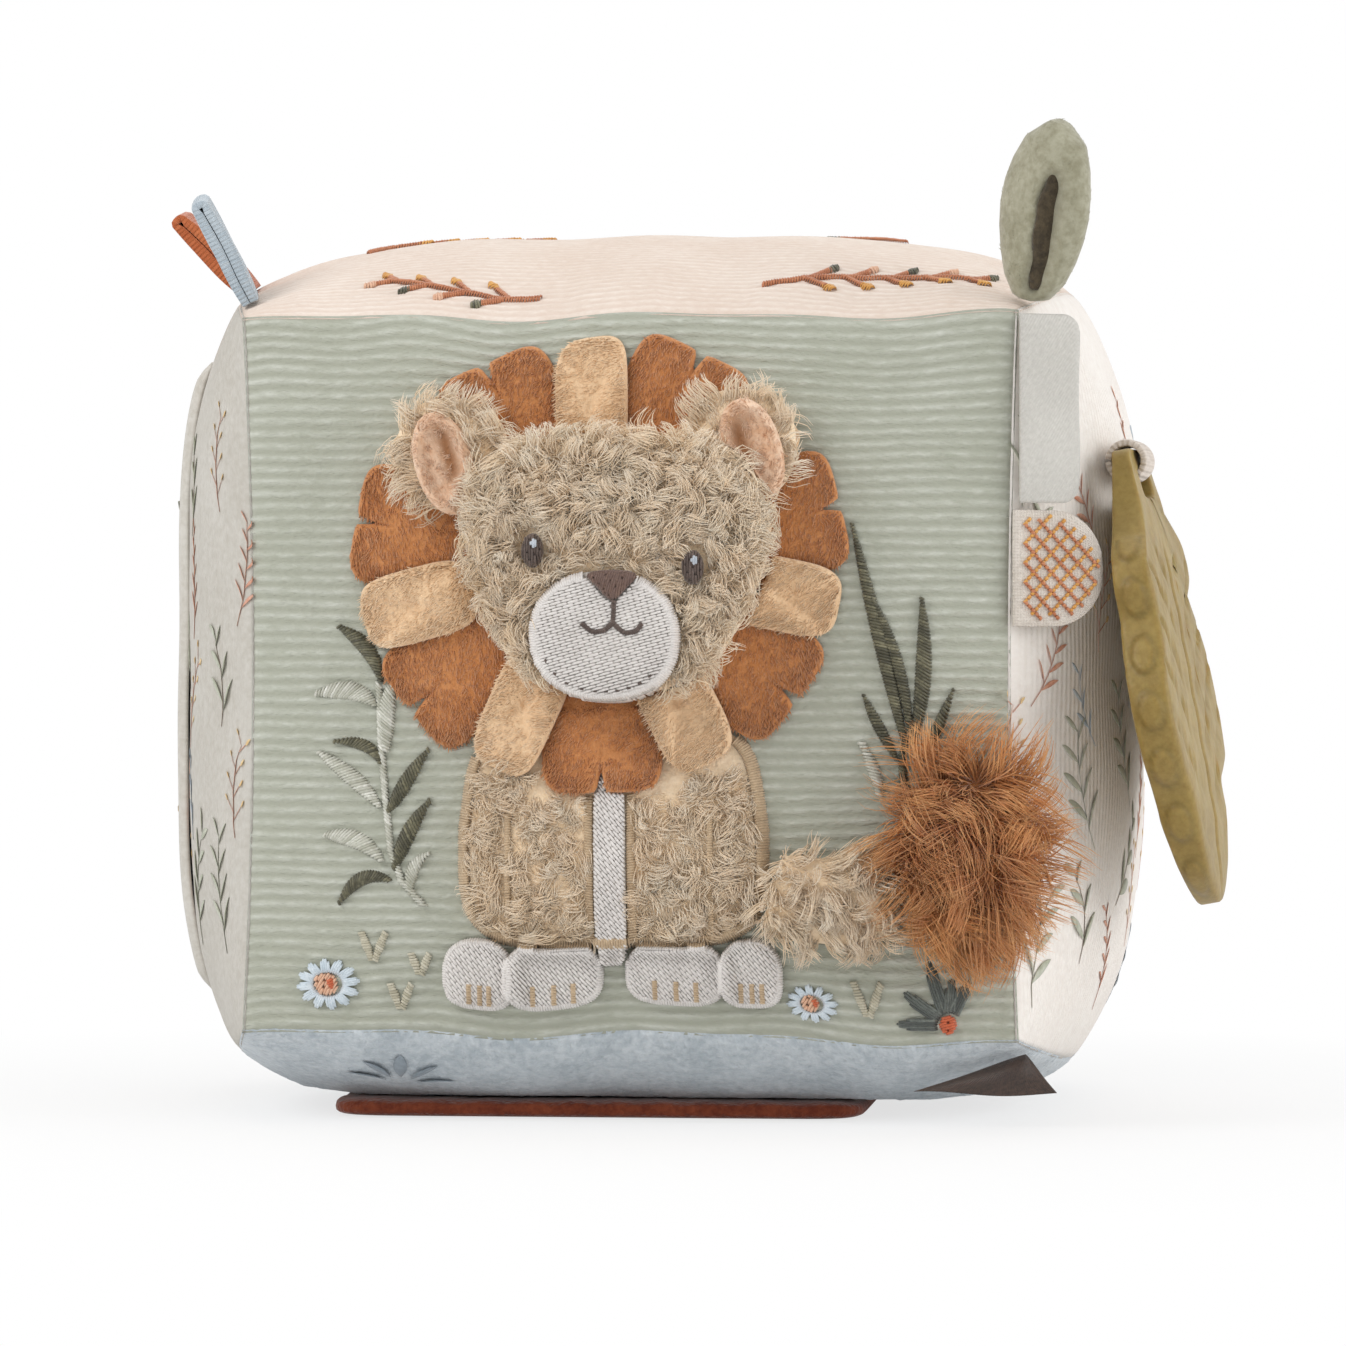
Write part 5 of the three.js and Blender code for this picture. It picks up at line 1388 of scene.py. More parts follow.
# Its outline down the rear and back up the front, as shares of half its width and of its height
rearShares = [(0.2, 0.022), (0.36, 0.012), (0.42, -0.09), (0.5, -0.155), (0.88, -0.2), (0.9, -0.27),
              (0.56, -0.335), (0.66, -0.43), (1.02, -0.5), (1.08, -0.6), (1.02, -0.69), (0.62, -0.75),
              (0.58, -0.85), (0.38, -0.95),
              (0, -1)]
frontShares = [(0.4, -0.94), (0.64, -0.84), (0.74, -0.76), (0.9, -0.69), (1, -0.61), (1, -0.51),
               (0.9, -0.43), (0.82, -0.35), (0.86, -0.29), (0.82, -0.23), (0.64, -0.17), (0.5, -0.1),
               (0.36, 0.012), (0.2, 0.022)]
barReach = math.hypot(teether["bar"], teether["thick"] * teether["barShare"]) / 2 + strap["slack"]
panelSpot = facePoints("right", teether["back"] / block["halfDepth"], strap["above"] / block["halfHeight"])
hangAt = np.array([panelSpot[0] + (barReach + strap["thick"] + 0.35) * mm, teether["back"] * mm,
                   panelSpot[2]])


# The teether hangs tilted from its strap and turned with the panel
def hung(x, y, z):
    a = math.radians(-teether["tilt"])
    x, z = x * math.cos(a) + z * math.sin(a), -x * math.sin(a) + z * math.cos(a)
    return turnedAt(x, y, z, -teether["turn"], hangAt)


# The plate's outline, evenly spaced along its curve and starting at the top
def teetherOutline(count):
    shares = rearShares + [(-x, y) for x, y in frontShares]
    closed = np.array([*shares[-1:], *shares, *shares[:2]], float) * (teether["wide"] / 2, teether["tall"])
    fine = throughPoints(closed, 30, 0.42)
    fine = np.array([*fine, fine[0]])
    run = runAlong(fine)
    at = np.linspace(0, run[-1], count, endpoint=False)
    return np.stack([np.interp(at, run, fine[:, 0]), np.interp(at, run, fine[:, 1])], 1)


outline = teetherOutline(360)
slotMiddle = np.array([0, -(teether["bar"] + strap["slotTall"]) / 2])


def teetherThick(height):
    down = np.clip(-height / (teether["tall"] * teether["fullShare"]), 0, 1)
    low = np.clip((-height / teether["tall"] - 0.8) / 0.2, 0, 1)
    share = teether["barShare"] + (1 - teether["barShare"]) * down * (2 - down)
    return teether["thick"] * share * (1 - 0.35 * low)


# A leaf's veins pressed into both sides: one down the middle and slanted ones crossing to the edge
def teetherVeins(p):
    below = np.clip((-p[:, 1] - teether["veinsBelow"]) / 4, 0, 1)
    vein = -0.8 * np.exp(-((abs(p[:, 0]) - 0.3) / teether["veinHalf"]) ** 2) * below
    crossing = (abs(p[:, 0]) * 0.75 - p[:, 1]) % teether["veinPitch"] - teether["veinPitch"] / 2
    slanted = 0.6 * np.exp(-(crossing / teether["veinHalf"]) ** 2) * np.clip((abs(p[:, 0]) - 2) / 3, 0, 1)
    return vein - slanted * below


# Places the teether's skin round its slot, and gives its tone: painted shade in the pressed veins and in a
# ring round the raised ovals
def teetherForm(theta, phi):
    k = np.rint((theta % (2 * math.pi)) / (2 * math.pi) * len(outline)).astype(int) % len(outline)
    far = outline[k]
    way = far - slotMiddle
    angle = np.arctan2(way[:, 1], way[:, 0])
    slot = ovalOutline(strap["slotWide"] / 2, strap["slotTall"] / 2, 4)
    near = slotMiddle + slot(angle)[:, None] * np.stack([np.cos(angle), np.sin(angle)], 1)
    away = np.pi / 2 - abs(abs(phi) - np.pi / 2)
    s = np.sign(phi) * np.clip(away / teether["turnIn"], 0, 1)
    c = np.sign(np.cos(phi)) * np.clip((np.pi / 2 - away) / (np.pi / 2 - teether["turnIn"]), 0, 1)
    rounding = (abs(c) ** teether["square"] + abs(s) ** teether["square"]) ** (-1 / teether["square"])
    share = 0.5 + 0.5 * c * rounding
    p = near + (far - near) * share[:, None]
    lobe = 0.1 * np.cos(p[:, 1] * 0.75 + abs(p[:, 0]) * 0.5)
    broad = np.clip((1 - share) * 6, 0, 1) * np.clip(share * 5, 0, 1)
    vein = teetherVeins(p)
    half = teetherThick(p[:, 1]) / 2
    z = s * rounding * (half + (lobe + vein) * broad)
    along = ((-p[:, 1]) % teether["ovalPitch"] - teether["ovalPitch"] / 2) / teether["ovalHalf"]
    over = z / (0.5 * half + 0.2)
    edge = np.clip((share - 0.93) / 0.05, 0, 1) * (p[:, 1] < -teether["ovalsBelow"])
    oval = 0.9 * np.clip(1.25 - along ** 2 - over ** 2, 0, 0.5) / 0.5 * edge
    ring = np.sqrt(along ** 2 + over ** 2)
    # The tone paints the pressed veins and a ring round each raised oval darker: painted shade
    tone = 1 + 0.6 * vein * broad - 0.5 * np.exp(-((ring - 1.05) / 0.2) ** 2) * edge
    return hung(z, p[:, 0] + np.sign(p[:, 0]) * oval, p[:, 1]), tone


piece, theta, phi = ringMesh("teether_plate", 360, 84, lambda theta, phi: teetherForm(theta, phi)[0],
                             "oliveSilicone")
# Stores the painted shade of the veins and ovals
storeShare(piece.data, "shade", np.clip(teetherForm(theta, phi)[1], 0, 1))
settle(piece, "teether", "olive_silicone", "teether")


def strapPlace(theta, phi):
    through = 0.5 + 0.5 * np.sign(np.cos(phi)) * abs(np.cos(phi)) ** 0.3
    r = barReach - strap["inward"] + (strap["thick"] + strap["inward"]) * through
    y = strap["wide"] / 2 * np.sign(np.sin(phi)) * abs(np.sin(phi)) ** 0.25
    return turnedAt(r * np.cos(theta), y, r * np.sin(theta), -teether["turn"], hangAt)


piece, theta, phi = ringMesh("strap_ring", 72, 40, strapPlace, "cottonWebbing")
storeMap(piece.data, np.sin(phi) * strap["wide"] / 2, theta * barReach)
settle(piece, "block", "cotton_webbing", "teether_strap")
print("mirror rim, teether and strap made")

for node in ("foam_core_front", "foam_core_back"):
    piece = refinedCopy(node.replace("core", "half"), node, "paleFoam", cuts=2)
    settle(piece, "block", "foam", node)
rigid = {"mirror_plate": "mirrorFilm", "rattle_shell_lower": "rattlePlastic",
         "rattle_shell_upper": "rattlePlastic", "rattle_bead_1": "beadPlastic",
         "rattle_bead_2": "beadPlastic", "rattle_bead_3": "beadPlastic"}
for node, finish in rigid.items():
    solid = bpy.data.objects[node]
    solid.data.materials.clear()
    solid.data.materials.append(materials[finish])
print("core, rattle and mirror finished")
# Embroidery on the front
artLooks = {
    # rayon threads lie side by side and shine; the third tone is mixed into each stitch by a random share
    "oliveThread": toned("#504e3a", "#8f8a6e", "#3d3b2a", like=threadShade, rough=0.4, mottle=5, gloss=0.5),
    "silverThread": toned("#c6c6b8", "#f3f2ea", "#a8a897", like=threadShade, rough=0.3, mottle=5, gloss=0.7),
    "slateThread": toned("#5b615d", "#8a9088", "#474c49", like=threadShade),
    "skyThread": toned("#c4d2dc", "#e6eef3", "#d3dee6", like=threadShade),
    "peachThread": toned("#d9a888", "#eec4a8", "#e3b799", like=threadShade, mottle=3),
    "redThread": toned("#b9502e", "#dc7a50", "#cb653e", like=threadShade, mottle=3),
    "oatThread": toned("#c6c0ab", "#e2ddcb", "#b2ac95", like=threadShade, rough=0.5, gloss=0.4),
}
addMaterials(artLooks)

# The embroidery is placed by the photo's own pixels: its middle on the front, and millimetres to a pixel
photo = {"middle": (628, 676), "pixel": 0.16, "right": 0.3}


def spot(px, py):
    return ((px - photo["middle"][0]) * photo["pixel"] + photo["right"],
            (photo["middle"][1] - py) * photo["pixel"])


# The corduroy as the threads lie on it, pressed half way down
def panelTop(u, v):
    near = np.minimum(block["halfWidth"] - abs(u), block["halfHeight"] - abs(v))
    return corduroyRelief(u, v, near)[0] * 0.5 + 0.22


def sewArt(name, ends, finish, slotName="brown_thread", lift=panelTop, **thread):
    piece = sewStitches(name, ends, lift, finish, **thread)
    return settle(piece, "block", slotName)


def leafStitches(start, bend, end, wide, **look):
    return satinLeaf(spot(*start), spot(*bend), spot(*end), wide * photo["pixel"], **look)


def stemStitches(points, wide):
    ends = []
    for start, end in zip(points[:-1], points[1:]):
        middle = ((start[0] + end[0]) / 2, (start[1] + end[1]) / 2)
        ends += leafStitches(start, middle, end, wide, slant=50, blunt=1.0)
    return ends


# Leaves and blades from foot over bend to tip, and their width
sprig = {
    "dark": [((374, 682), (364, 640), (329, 626), 17), ((374, 764), (362, 738), (324, 742), 13),
             ((382, 812), (398, 786), (425, 749), 16), ((389, 870), (398, 838), (427, 800), 17),
             ((386, 882), (350, 868), (332, 906), 15)],
    "light": [((368, 706), (344, 682), (304, 694), 20), ((380, 752), (374, 712), (391, 676), 20),
              ((374, 808), (346, 774), (307, 752), 18), ((377, 862), (350, 832), (315, 836), 19),
              ((406, 896), (402, 868), (426, 854), 14)],
    "stem": [(372, 684), (374, 740), (380, 800), (386, 852), (398, 882), (420, 906)],
}
grass = {
    "blades": [((914, 752), (888, 640), (857, 520), 15), ((918, 740), (912, 660), (876, 592), 13),
               ((920, 745), (938, 670), (929, 596), 17), ((930, 760), (946, 730), (962, 688), 12),
               ((904, 760), (886, 728), (870, 694), 12), ((912, 800), (908, 770), (911, 735), 9)],
    "pale": [((886, 795), (884, 770), (868, 742), 13)],
}


def leavesStitches(shapes, **look):
    return [pair for shape in shapes for pair in leafStitches(*shape, **look)]


ends = leavesStitches(sprig["dark"], blunt=0.35)
sewArt("sprig_dark_leaves", ends, "oliveThread", radius=0.25, arch=0.5)
ends = leavesStitches(sprig["light"], blunt=0.3)
sewArt("sprig_light_leaves", ends, "silverThread", "white_thread", radius=0.25, arch=0.5, seed=3)
ends = stemStitches(sprig["stem"], 7)
sewArt("sprig_stem", ends, "silverThread", "white_thread", radius=0.24, arch=0.32, seed=5)
ends = leavesStitches(grass["blades"], slant=30, blunt=0.3)
sewArt("blades", ends, "oliveThread", radius=0.25, arch=0.5, seed=7)
ends = leavesStitches(grass["pale"], blunt=0.6)
sewArt("pale_blade", ends, "silverThread", "white_thread", radius=0.25, arch=0.38, seed=9)


# Petals stitched lengthwise, side by side
def petals(centre, near, far, count, wide, first):
    ends = []
    for k in range(count):
        angle = math.radians(first + 360 * k / count)
        way = np.array([math.cos(angle), math.sin(angle)])
        side = np.array([-way[1], way[0]])
        for offset in np.arange(-wide / 2 + 0.15, wide / 2, 0.38):
            half = (far - near) / 2 * math.sqrt(max(0.1, 1 - (2 * offset / wide) ** 2))
            middle = centre + way * ((near + far) / 2 + 0.15) + side * offset
            ends.append((middle - way * (far - near) / 2, middle + way * half))
    return ends


# A round fill of running stitches
def disc(centre, reach, degrees=60, **look):
    low, high = np.array(centre) - reach, np.array(centre) + reach
    return tatami(lambda u, v: np.hypot(u - centre[0], v - centre[1]) < reach, low, high, degrees, **look)


daisies = {
    "left": {"at": (322, 988), "near": 2.1, "far": 5.2, "petals": 12, "wide": 1.5, "squash": 0.8},
    "right": {"at": (814, 1000), "near": 1.6, "far": 4.1, "petals": 12, "wide": 1.15, "squash": 0.72},
}
for side, daisy in daisies.items():
    centre, near, name = np.array(spot(*daisy["at"])), daisy["near"], "daisy_" + side
    round12 = petals(centre, near, daisy["far"], daisy["petals"], daisy["wide"], 8)
    ends = [tuple(centre + (q - centre) * (1, daisy["squash"]) for q in pair) for pair in round12]
    sewArt(name + "_petals", ends, "skyThread", "white_thread", radius=0.24, arch=0.4, seed=11)
    sewArt(name + "_centre", disc(centre + (-0.3, 0), near * 0.95), "peachThread", radius=0.25, arch=0.45,
           seed=12)
    ends = disc(centre + (0.5, 0.2), near * 0.42, 20, spacing=0.4)
    sewArt(name + "_dot", ends, "redThread", radius=0.24, arch=0.75, seed=13)

darkFlower = {"foot": (950, 1017), "tips": ((899, 1013), (907, 983), (931, 955), (955, 974), (972, 976)),
              "centre": (949, 1017), "near": 1.6, "wide": 1.8, "dot": 1.5}
foot, dark = np.array(spot(*darkFlower["foot"])), []
for tip in darkFlower["tips"]:
    end = np.array(spot(*tip))
    reach = float(np.linalg.norm(end - foot))
    degrees = math.degrees(math.atan2(*(end - foot)[::-1]))
    dark += petals(foot, darkFlower["near"], reach, 1, darkFlower["wide"], degrees)
sewArt("dark_flower", dark, "slateThread", radius=0.25, arch=0.42, seed=15)
ends = disc(spot(*darkFlower["centre"]), darkFlower["dot"], 10, spacing=0.42)
sewArt("dark_flower_centre", ends, "redThread", radius=0.25, arch=0.5, seed=16)

# Small v-shaped marks: where, and how tall
marks = ((369, 948, 30), (417, 966, 22), (397, 1000, 26), (870, 990, 33))
vees = []
for x, y, size in marks:
    for sign in (-1, 1):
        top, bend = spot(x + sign * size * 0.42, y - size * 0.45), spot(x + sign * size * 0.22, y)
        foot = spot(x + sign * 1.5, y + size * 0.5)
        vees += satinLeaf(top, bend, foot, 1.5, slant=15, blunt=0.8, spacing=0.4)
sewArt("small_vees", vees, "oatThread", radius=0.23, arch=0.3, seed=17)
print("front embroidered")


# Embroidery on the lion
def padInside(pad, grow=0.0):
    def inside(u, v):
        x, y = u - pad["at"][0], v - pad["at"][1]
        return np.hypot(x, y) < pad["outline"](np.arctan2(y, x)) - grow
    return inside


def padTop(u, v):
    return sampleMap(pile, u, v) + 0.12


def fillPad(name, pad, degrees, finish, slotName, holes=(), grow=0.3, **look):
    reach = float(pad["outline"](np.linspace(0, 6.28, 80)).max()) + 1
    at = np.array(pad["at"])
    inside = padInside(pad, grow)

    def kept(u, v):
        ok = inside(u, v)
        for hole in holes:
            ok &= ~padInside(hole, -0.1)(u, v)
        return ok
    ends = tatami(kept, at - reach, at + reach, degrees, **look)
    return sewArt(name, ends, finish, slotName, padTop, radius=0.23, arch=0.13, seed=len(name))


# Short satin stitches side by side round a pad's edge
def rimStitches(pad, inward, outward):
    angles = np.radians(np.linspace(0, 360, 900))
    reach = pad["outline"](angles)
    p = np.array(pad["at"]) + np.stack([reach * np.cos(angles), reach * np.sin(angles)], 1)
    run = runAlong(p)
    ends = []
    for s in np.arange(0, run[-1], 0.42):
        q = np.array([np.interp(s, run, p[:, 0]), np.interp(s, run, p[:, 1])])
        d = np.array([np.interp(s + 0.3, run, p[:, k]) - np.interp(s - 0.3, run, p[:, k]) for k in (0, 1)])
        way = np.array([d[1], -d[0]]) / np.linalg.norm(d)
        ends.append((q - way * inward, q + way * outward))
    return ends


whiteFill = {"spacing": 0.47, "stitch": 1.9, "shift": 0.5}
fillPad("muzzle_stitches", muzzle, 15, "whiteThread", "white_thread", holes=[nose], grow=0.9, **whiteFill)


# The muzzle's rim has no stitches where the nose lies over it
def besideNose(pair):
    u, v = pair[0]
    return not (v > nose["at"][1] and abs(u - nose["at"][0]) < 4.6)


rimEnds = [pair for pair in rimStitches(muzzle, 1.5, 0.15) if besideNose(pair)]
sewArt("muzzle_rim", rimEnds, "whiteThread", "white_thread", padTop, radius=0.24, arch=0.25, seed=21)
dash = {"from": (200, 214, 228, 244, 258, 270, 282, 294, 306, 318), "long": 5, "inner": 0.84}


def muzzleSpot(degrees):
    t = math.radians(degrees)
    return np.array(muzzle["at"]) + dash["inner"] * muzzle["outline"](t) * np.array([math.cos(t),
            math.sin(t)])


dashes = [(muzzleSpot(degrees), muzzleSpot(degrees + dash["long"])) for degrees in dash["from"]]
sewArt("muzzle_dashes", dashes, "eyeThread", "brown_thread", padTop, radius=0.2, arch=0.35, seed=22)
fillPad("nose_stitches", nose, 75, "noseThread", "brown_thread", grow=0.05, spacing=0.34, stitch=6)
mouth = {"stem": [(629, 603), (629, 613), (628, 625)], "left": [(628, 624), (619, 632), (607, 633),
        (597, 625)],
         "right": [(628, 624), (639, 634), (651, 633), (658, 624)]}


# Satin stitches across a softened line through photo pixels
def curveStitches(points, wide, spacing=0.34):
    p = np.array([spot(*q) for q in points])
    t = np.linspace(0, 1, len(p))
    fine = np.linspace(0, 1, 60)
    line = np.stack([np.interp(fine, t, p[:, k]) for k in (0, 1)], 1)
    for _ in range(12):
        line[1:-1] = (line[:-2] + 2 * line[1:-1] + line[2:]) / 4
    run = runAlong(line)
    ends = []
    for s in np.arange(0, run[-1], spacing):
        q = np.array([np.interp(s, run, line[:, k]) for k in (0, 1)])
        d = np.array([np.interp(s + 0.2, run, line[:, k]) - np.interp(s - 0.2, run,
                line[:, k]) for k in (0, 1)])
        d = d / np.linalg.norm(d)
        side = np.array([-d[1], d[0]])
        ends.append((q - side * wide / 2 - d * 0.15, q + side * wide / 2 + d * 0.15))
    return ends


ends = [e for line in mouth.values() for e in curveStitches(line, 0.95)]
sewArt("mouth_stitches", ends, "eyeThread", "brown_thread", padTop, radius=0.22, arch=0.5, seed=24)
for side, pad in eyePads.items():
    fillPad(f"eye_{side}_stitches", pad, 90, "eyeThread", "brown_thread", grow=0.05, spacing=0.4, stitch=3.2)
    at = np.array(pad["at"]) + (0.5, 1.1)
    glint = {"at": tuple(at), "outline": ovalOutline(0.5, 0.8)}
    piece = fillPad(f"eye_{side}_glint", glint, 90, "paleThread", "white_thread", grow=0, spacing=0.32,
                    stitch=3)
    writePoints(piece.data, readPoints(piece.data) + np.array((0, -0.42, 0)) * mm)
# How far right of a paw's middle its toes are stitched
toes = {"rear_left": (-1.4, 0.4, 1.9), "front_left": (-3.2, 0.2, 3.4), "front_right": (-3.2, 0.2, 3.4),
        "rear_right": (-1.6, 0.2, 1.8)}
for side, pad in paws.items():
    name = "paw_" + side
    fillPad(name + "_stitches", pad, -50, "whiteThread", "white_thread", grow=0.5, **whiteFill)
    ends = rimStitches(pad, 0.9, 0.1)
    sewArt(name + "_rim", ends, "whiteThread", "white_thread", padTop, radius=0.23, arch=0.22, seed=26)
    u0, v0 = pad["at"]
    ends = []
    for x in toes[side]:
        for k in np.arange(-4.6, -1.7, 0.4):
            ends.append(((u0 + x - 0.5, v0 + k), (u0 + x + 0.5, v0 + k)))
    sewArt(name + "_toes", ends, "tanThread", "beige_fur", padTop, radius=0.23, arch=0.5, seed=27)
fillPad("stripe_stitches", stripe, -50, "whiteThread", "white_thread", holes=tabPads, grow=0.1, **whiteFill)


# Leaves out stitches that would lie on the mane
def offMane(ends):
    middles = np.array([(np.array(a) + np.array(b)) / 2 for a, b in ends])
    kept = np.ones(len(ends), bool)
    for pad in tabPads:
        kept &= ~padInside(pad, -0.5)(middles[:, 0], middles[:, 1])
    return [e for e, ok in zip(ends, kept) if ok]


ends = []
for sign in (-1, 1):
    for v in np.arange(bodySeams["foot"], -12, 0.42):
        ends.append(((stripe["at"][0] + sign * 2.7, v), (stripe["at"][0] + sign * 4.2, v + 0.25)))
for u0 in bodySeams["sides"]:
    for v in np.arange(-42.0, -22, 0.42):
        ends.append(((u0 - 0.55, v), (u0 + 0.55, v + 0.2)))
ends = offMane(ends)
sewArt("stripe_borders", ends, "tanThread", "beige_fur", padTop, radius=0.24, arch=0.3, seed=28)
sewArt("body_border", offMane(rimStitches(body, 1.3, 0.7)), "tanThread", "beige_fur", padTop, radius=0.24,
       arch=0.3, seed=29)
print("lion embroidered")

# The woven tag's lattice: slanted rows of short stitches in two colours
tag = tags["woven_tag"]
lattice = {"pitch": 3.1, "stitch": 0.85, "slope": 0.7071, "middle": 8, "radius": 0.3}
for finish, slant in (("ochreThread", 1), ("clayThread", -1)):
    ends = []
    for offset in np.arange(-24, 24, lattice["pitch"]):
        line = np.arange(-20, 20, lattice["stitch"])
        x, z = lattice["middle"] + line * lattice["slope"], slant * line * lattice["slope"] + offset
        for k in range(len(line) - 1):
            if 1.6 < x[k] < tag["reach"] - 1.4 and abs(z[k]) < tagHalf(tag, x[k] + 1.2) - 1.3:
                ends.append(((x[k], z[k]), (x[k + 1], z[k + 1])))
    ends = np.array(ends)
    t = np.array([0.0, 0.14, 0.5, 0.86, 1.0])
    x = ends[:, 0, 0, None] * (1 - t) + ends[:, 1, 0, None] * t
    z = ends[:, 0, 1, None] * (1 - t) + ends[:, 1, 1, None] * t
    lift = tag["thick"] / 2 + np.array([-0.3, 0.1, 0.2, 0.1, -0.3]) + (0.12 if slant < 0 else 0)
    lines = tagPoint(tag, x, z, np.broadcast_to(lift, x.shape))
    radii = lattice["radius"] * mm * np.array([0.7, 1, 1, 1, 0.7])[None] * np.ones((len(ends), 1))
    turn = math.radians(tag["turn"])
    away = np.tile((math.sin(turn), -math.cos(turn), 0), (len(ends), 1))
    piece = sweep(f"tag_lattice_{finish}", lines, radii, finish, sides=5, outward=away)
    settle(piece, "woven_tag", "woven_cotton_tag")
print("tag stitched")
# Prints and sewn branches: one stroke is a stem or a leaf, flat on the cloth
# Pigment inks, matt and a little uneven: soft grey-green, clay red, ochre, dusty blue, brown and slate
inkTones = {
    "greenInk": ("#a9ac97", "#c6c8b8"), "clayInk": ("#c9876a", "#dfae96"),
    "ochreInk": ("#dcb77d", "#ead09f"),
    "blueInk": ("#a7b4bf", "#c3ccd3"), "brownInk": ("#a59482", "#c0b2a2"),
    "slateInk": ("#8f9aa3", "#a3adb5"),
}
addMaterials({name: toned(*tones, rough=0.85, grain=1.0, mottle=4) for name, tones in inkTones.items()})


# strokes: (start, bend, end, width) in millimetres; place(u, v, lift) gives metres on the cloth
def layStrokes(name, strokes, place, outward, finish, lift=0.05):
    t = np.linspace(0, 1, 7)
    start, bend, end = (np.array([s[k] for s in strokes], float)[:, None] for k in range(3))
    line = (1 - t)[None, :, None] ** 2 * start + 2 * (t * (1 - t))[None, :, None] * bend
    line = line + t[None, :, None] ** 2 * end
    lines = place(line[..., 0], line[..., 1], lift)
    wide = np.array([s[3] for s in strokes])[:, None]
    leafLike = np.array([0.15, 0.62, 0.95, 1.0, 0.84, 0.5, 0.08])[None]
    stemLike = np.array([0.8, 1.0, 1.0, 1.0, 1.0, 0.9, 0.5])[None]
    radii = np.where(wide > 0.7, leafLike, stemLike) * wide / 2 * mm
    outward = np.tile(outward, (len(strokes), 1)).astype(float)
    return sweep(name, lines, radii, finish, sides=6, flatten=0.12, outward=outward)


# A sprig: a curved stem with leaves on both sides, and berries or a bud where asked
def sprigStrokes(at, degrees, long, pairs, leafLong, leafWide, bow=0.18, spread=42, berries=False):
    a = math.radians(degrees)
    way, side = np.array([math.cos(a), math.sin(a)]), np.array([-math.sin(a), math.cos(a)])
    foot = np.array(at, float)
    bend, tip = foot + way * long * 0.5 + side * long * bow, foot + way * long
    stems, leaves = [(foot, bend, tip, 0.45)], []
    for k in range(pairs):
        t = 0.22 + 0.74 * k / max(1, pairs - 1)
        root = (1 - t) ** 2 * foot + 2 * t * (1 - t) * bend + t ** 2 * tip
        for sign in (-1, 1):
            b = a + sign * math.radians(spread) + 0.5 * bow * (1 - 2 * t)
            size = leafLong * (1.1 - 0.5 * t)
            out = np.array([math.cos(b), math.sin(b)])
            root2 = root + way * 0.6 * sign
            if berries:
                stems.append((root2, root2 + out * size * 0.35, root2 + out * size * 0.7, 0.3))
                tip2 = root2 + out * (size * 0.65 + leafWide)
                leaves.append((root2 + out * size * 0.65, root2 + out * size * 0.85, tip2, leafWide))
            else:
                bend2 = root2 + out * size * 0.5 + way * 0.15 * size
                leaves.append((root2, bend2, root2 + out * size, leafWide * (1.1 - 0.3 * t)))
    return stems, leaves


# Sprigs scattered evenly over a cloth, each turned its own way
def scatter(low, high, step, seed):
    draw = np.random.RandomState(seed)
    spots = []
    for i, u in enumerate(np.arange(low[0], high[0], step)):
        for j, v in enumerate(np.arange(low[1] + (i % 2) * step / 2, high[1], step)):
            kind = (i * 2 + j * 3) % 5
            spots.append(((u + draw.uniform(-2, 2), v + draw.uniform(-2, 2)), draw.uniform(50, 130), kind))
    return spots


sprigKinds = [
    {"ink": "greenInk", "leafInk": "greenInk", "long": 19, "pairs": 4, "leafLong": 6.5, "leafWide": 2.1},
    {"ink": "clayInk", "leafInk": "ochreInk", "long": 15, "pairs": 4, "leafLong": 4.6, "leafWide": 1.3,
     "berries": True},
    {"ink": "brownInk", "leafInk": "greenInk", "long": 14, "pairs": 3, "leafLong": 6.0, "leafWide": 2.6,
     "bow": -0.2},
    {"ink": "blueInk", "leafInk": "blueInk", "long": 12, "pairs": 3, "leafLong": 4.2, "leafWide": 1.4,
     "spread": 30},
    {"ink": "clayInk", "leafInk": "clayInk", "long": 17, "pairs": 5, "leafLong": 4.0, "leafWide": 1.1,
     "bow": -0.15},
]


def printCloth(name, spots, place, outward, body, slotName):
    inks = {}
    for at, degrees, kind in spots:
        look = dict(sprigKinds[kind])
        ink, leafInk = look.pop("ink"), look.pop("leafInk")
        stems, leaves = sprigStrokes(at, degrees, **look)
        inks.setdefault(ink, []).extend(stems)
        inks.setdefault(leafInk, []).extend(leaves)
    for ink, strokes in inks.items():
        settle(layStrokes(f"{name}_{ink}", strokes, place, outward, ink), body, slotName)


def placeOn(faceName):
    return lambda u, v, lift: onFace(faceName, u, v, lift)


# Both side panels: the left one has more sprigs near the lion's side
spots = scatter((-54, -50), (44, 34), 15.5, 51)
printCloth("right_print", spots, placeOn("right"), (1, 0, 0), "block", "right_print_cotton")
nearSprigs = [((50, -44), 95, 0), ((54, -26), 85, 1), ((48, -8), 100, 2), ((54, 8), 80, 4),
              ((49, 26), 95, 1)]
spots = scatter((-47, -50), (40, 34), 15.5, 53) + nearSprigs
printCloth("left_print", spots, placeOn("left"), (-1, 0, 0), "block", "left_print_cotton")


def flapTop(u, v, lift):
    x, y = u / block["halfDepth"], v / block["halfHeight"]
    return facePoints("left", x, y, flapLift - flap["gap"] + lift + flapPucker(x, y))


printCloth("flap_print", scatter((-50, -42), (-1, 28), 14.5, 57), flapTop, (-1, 0, 0), "flap", "flap_cloth")
print("cloths printed")

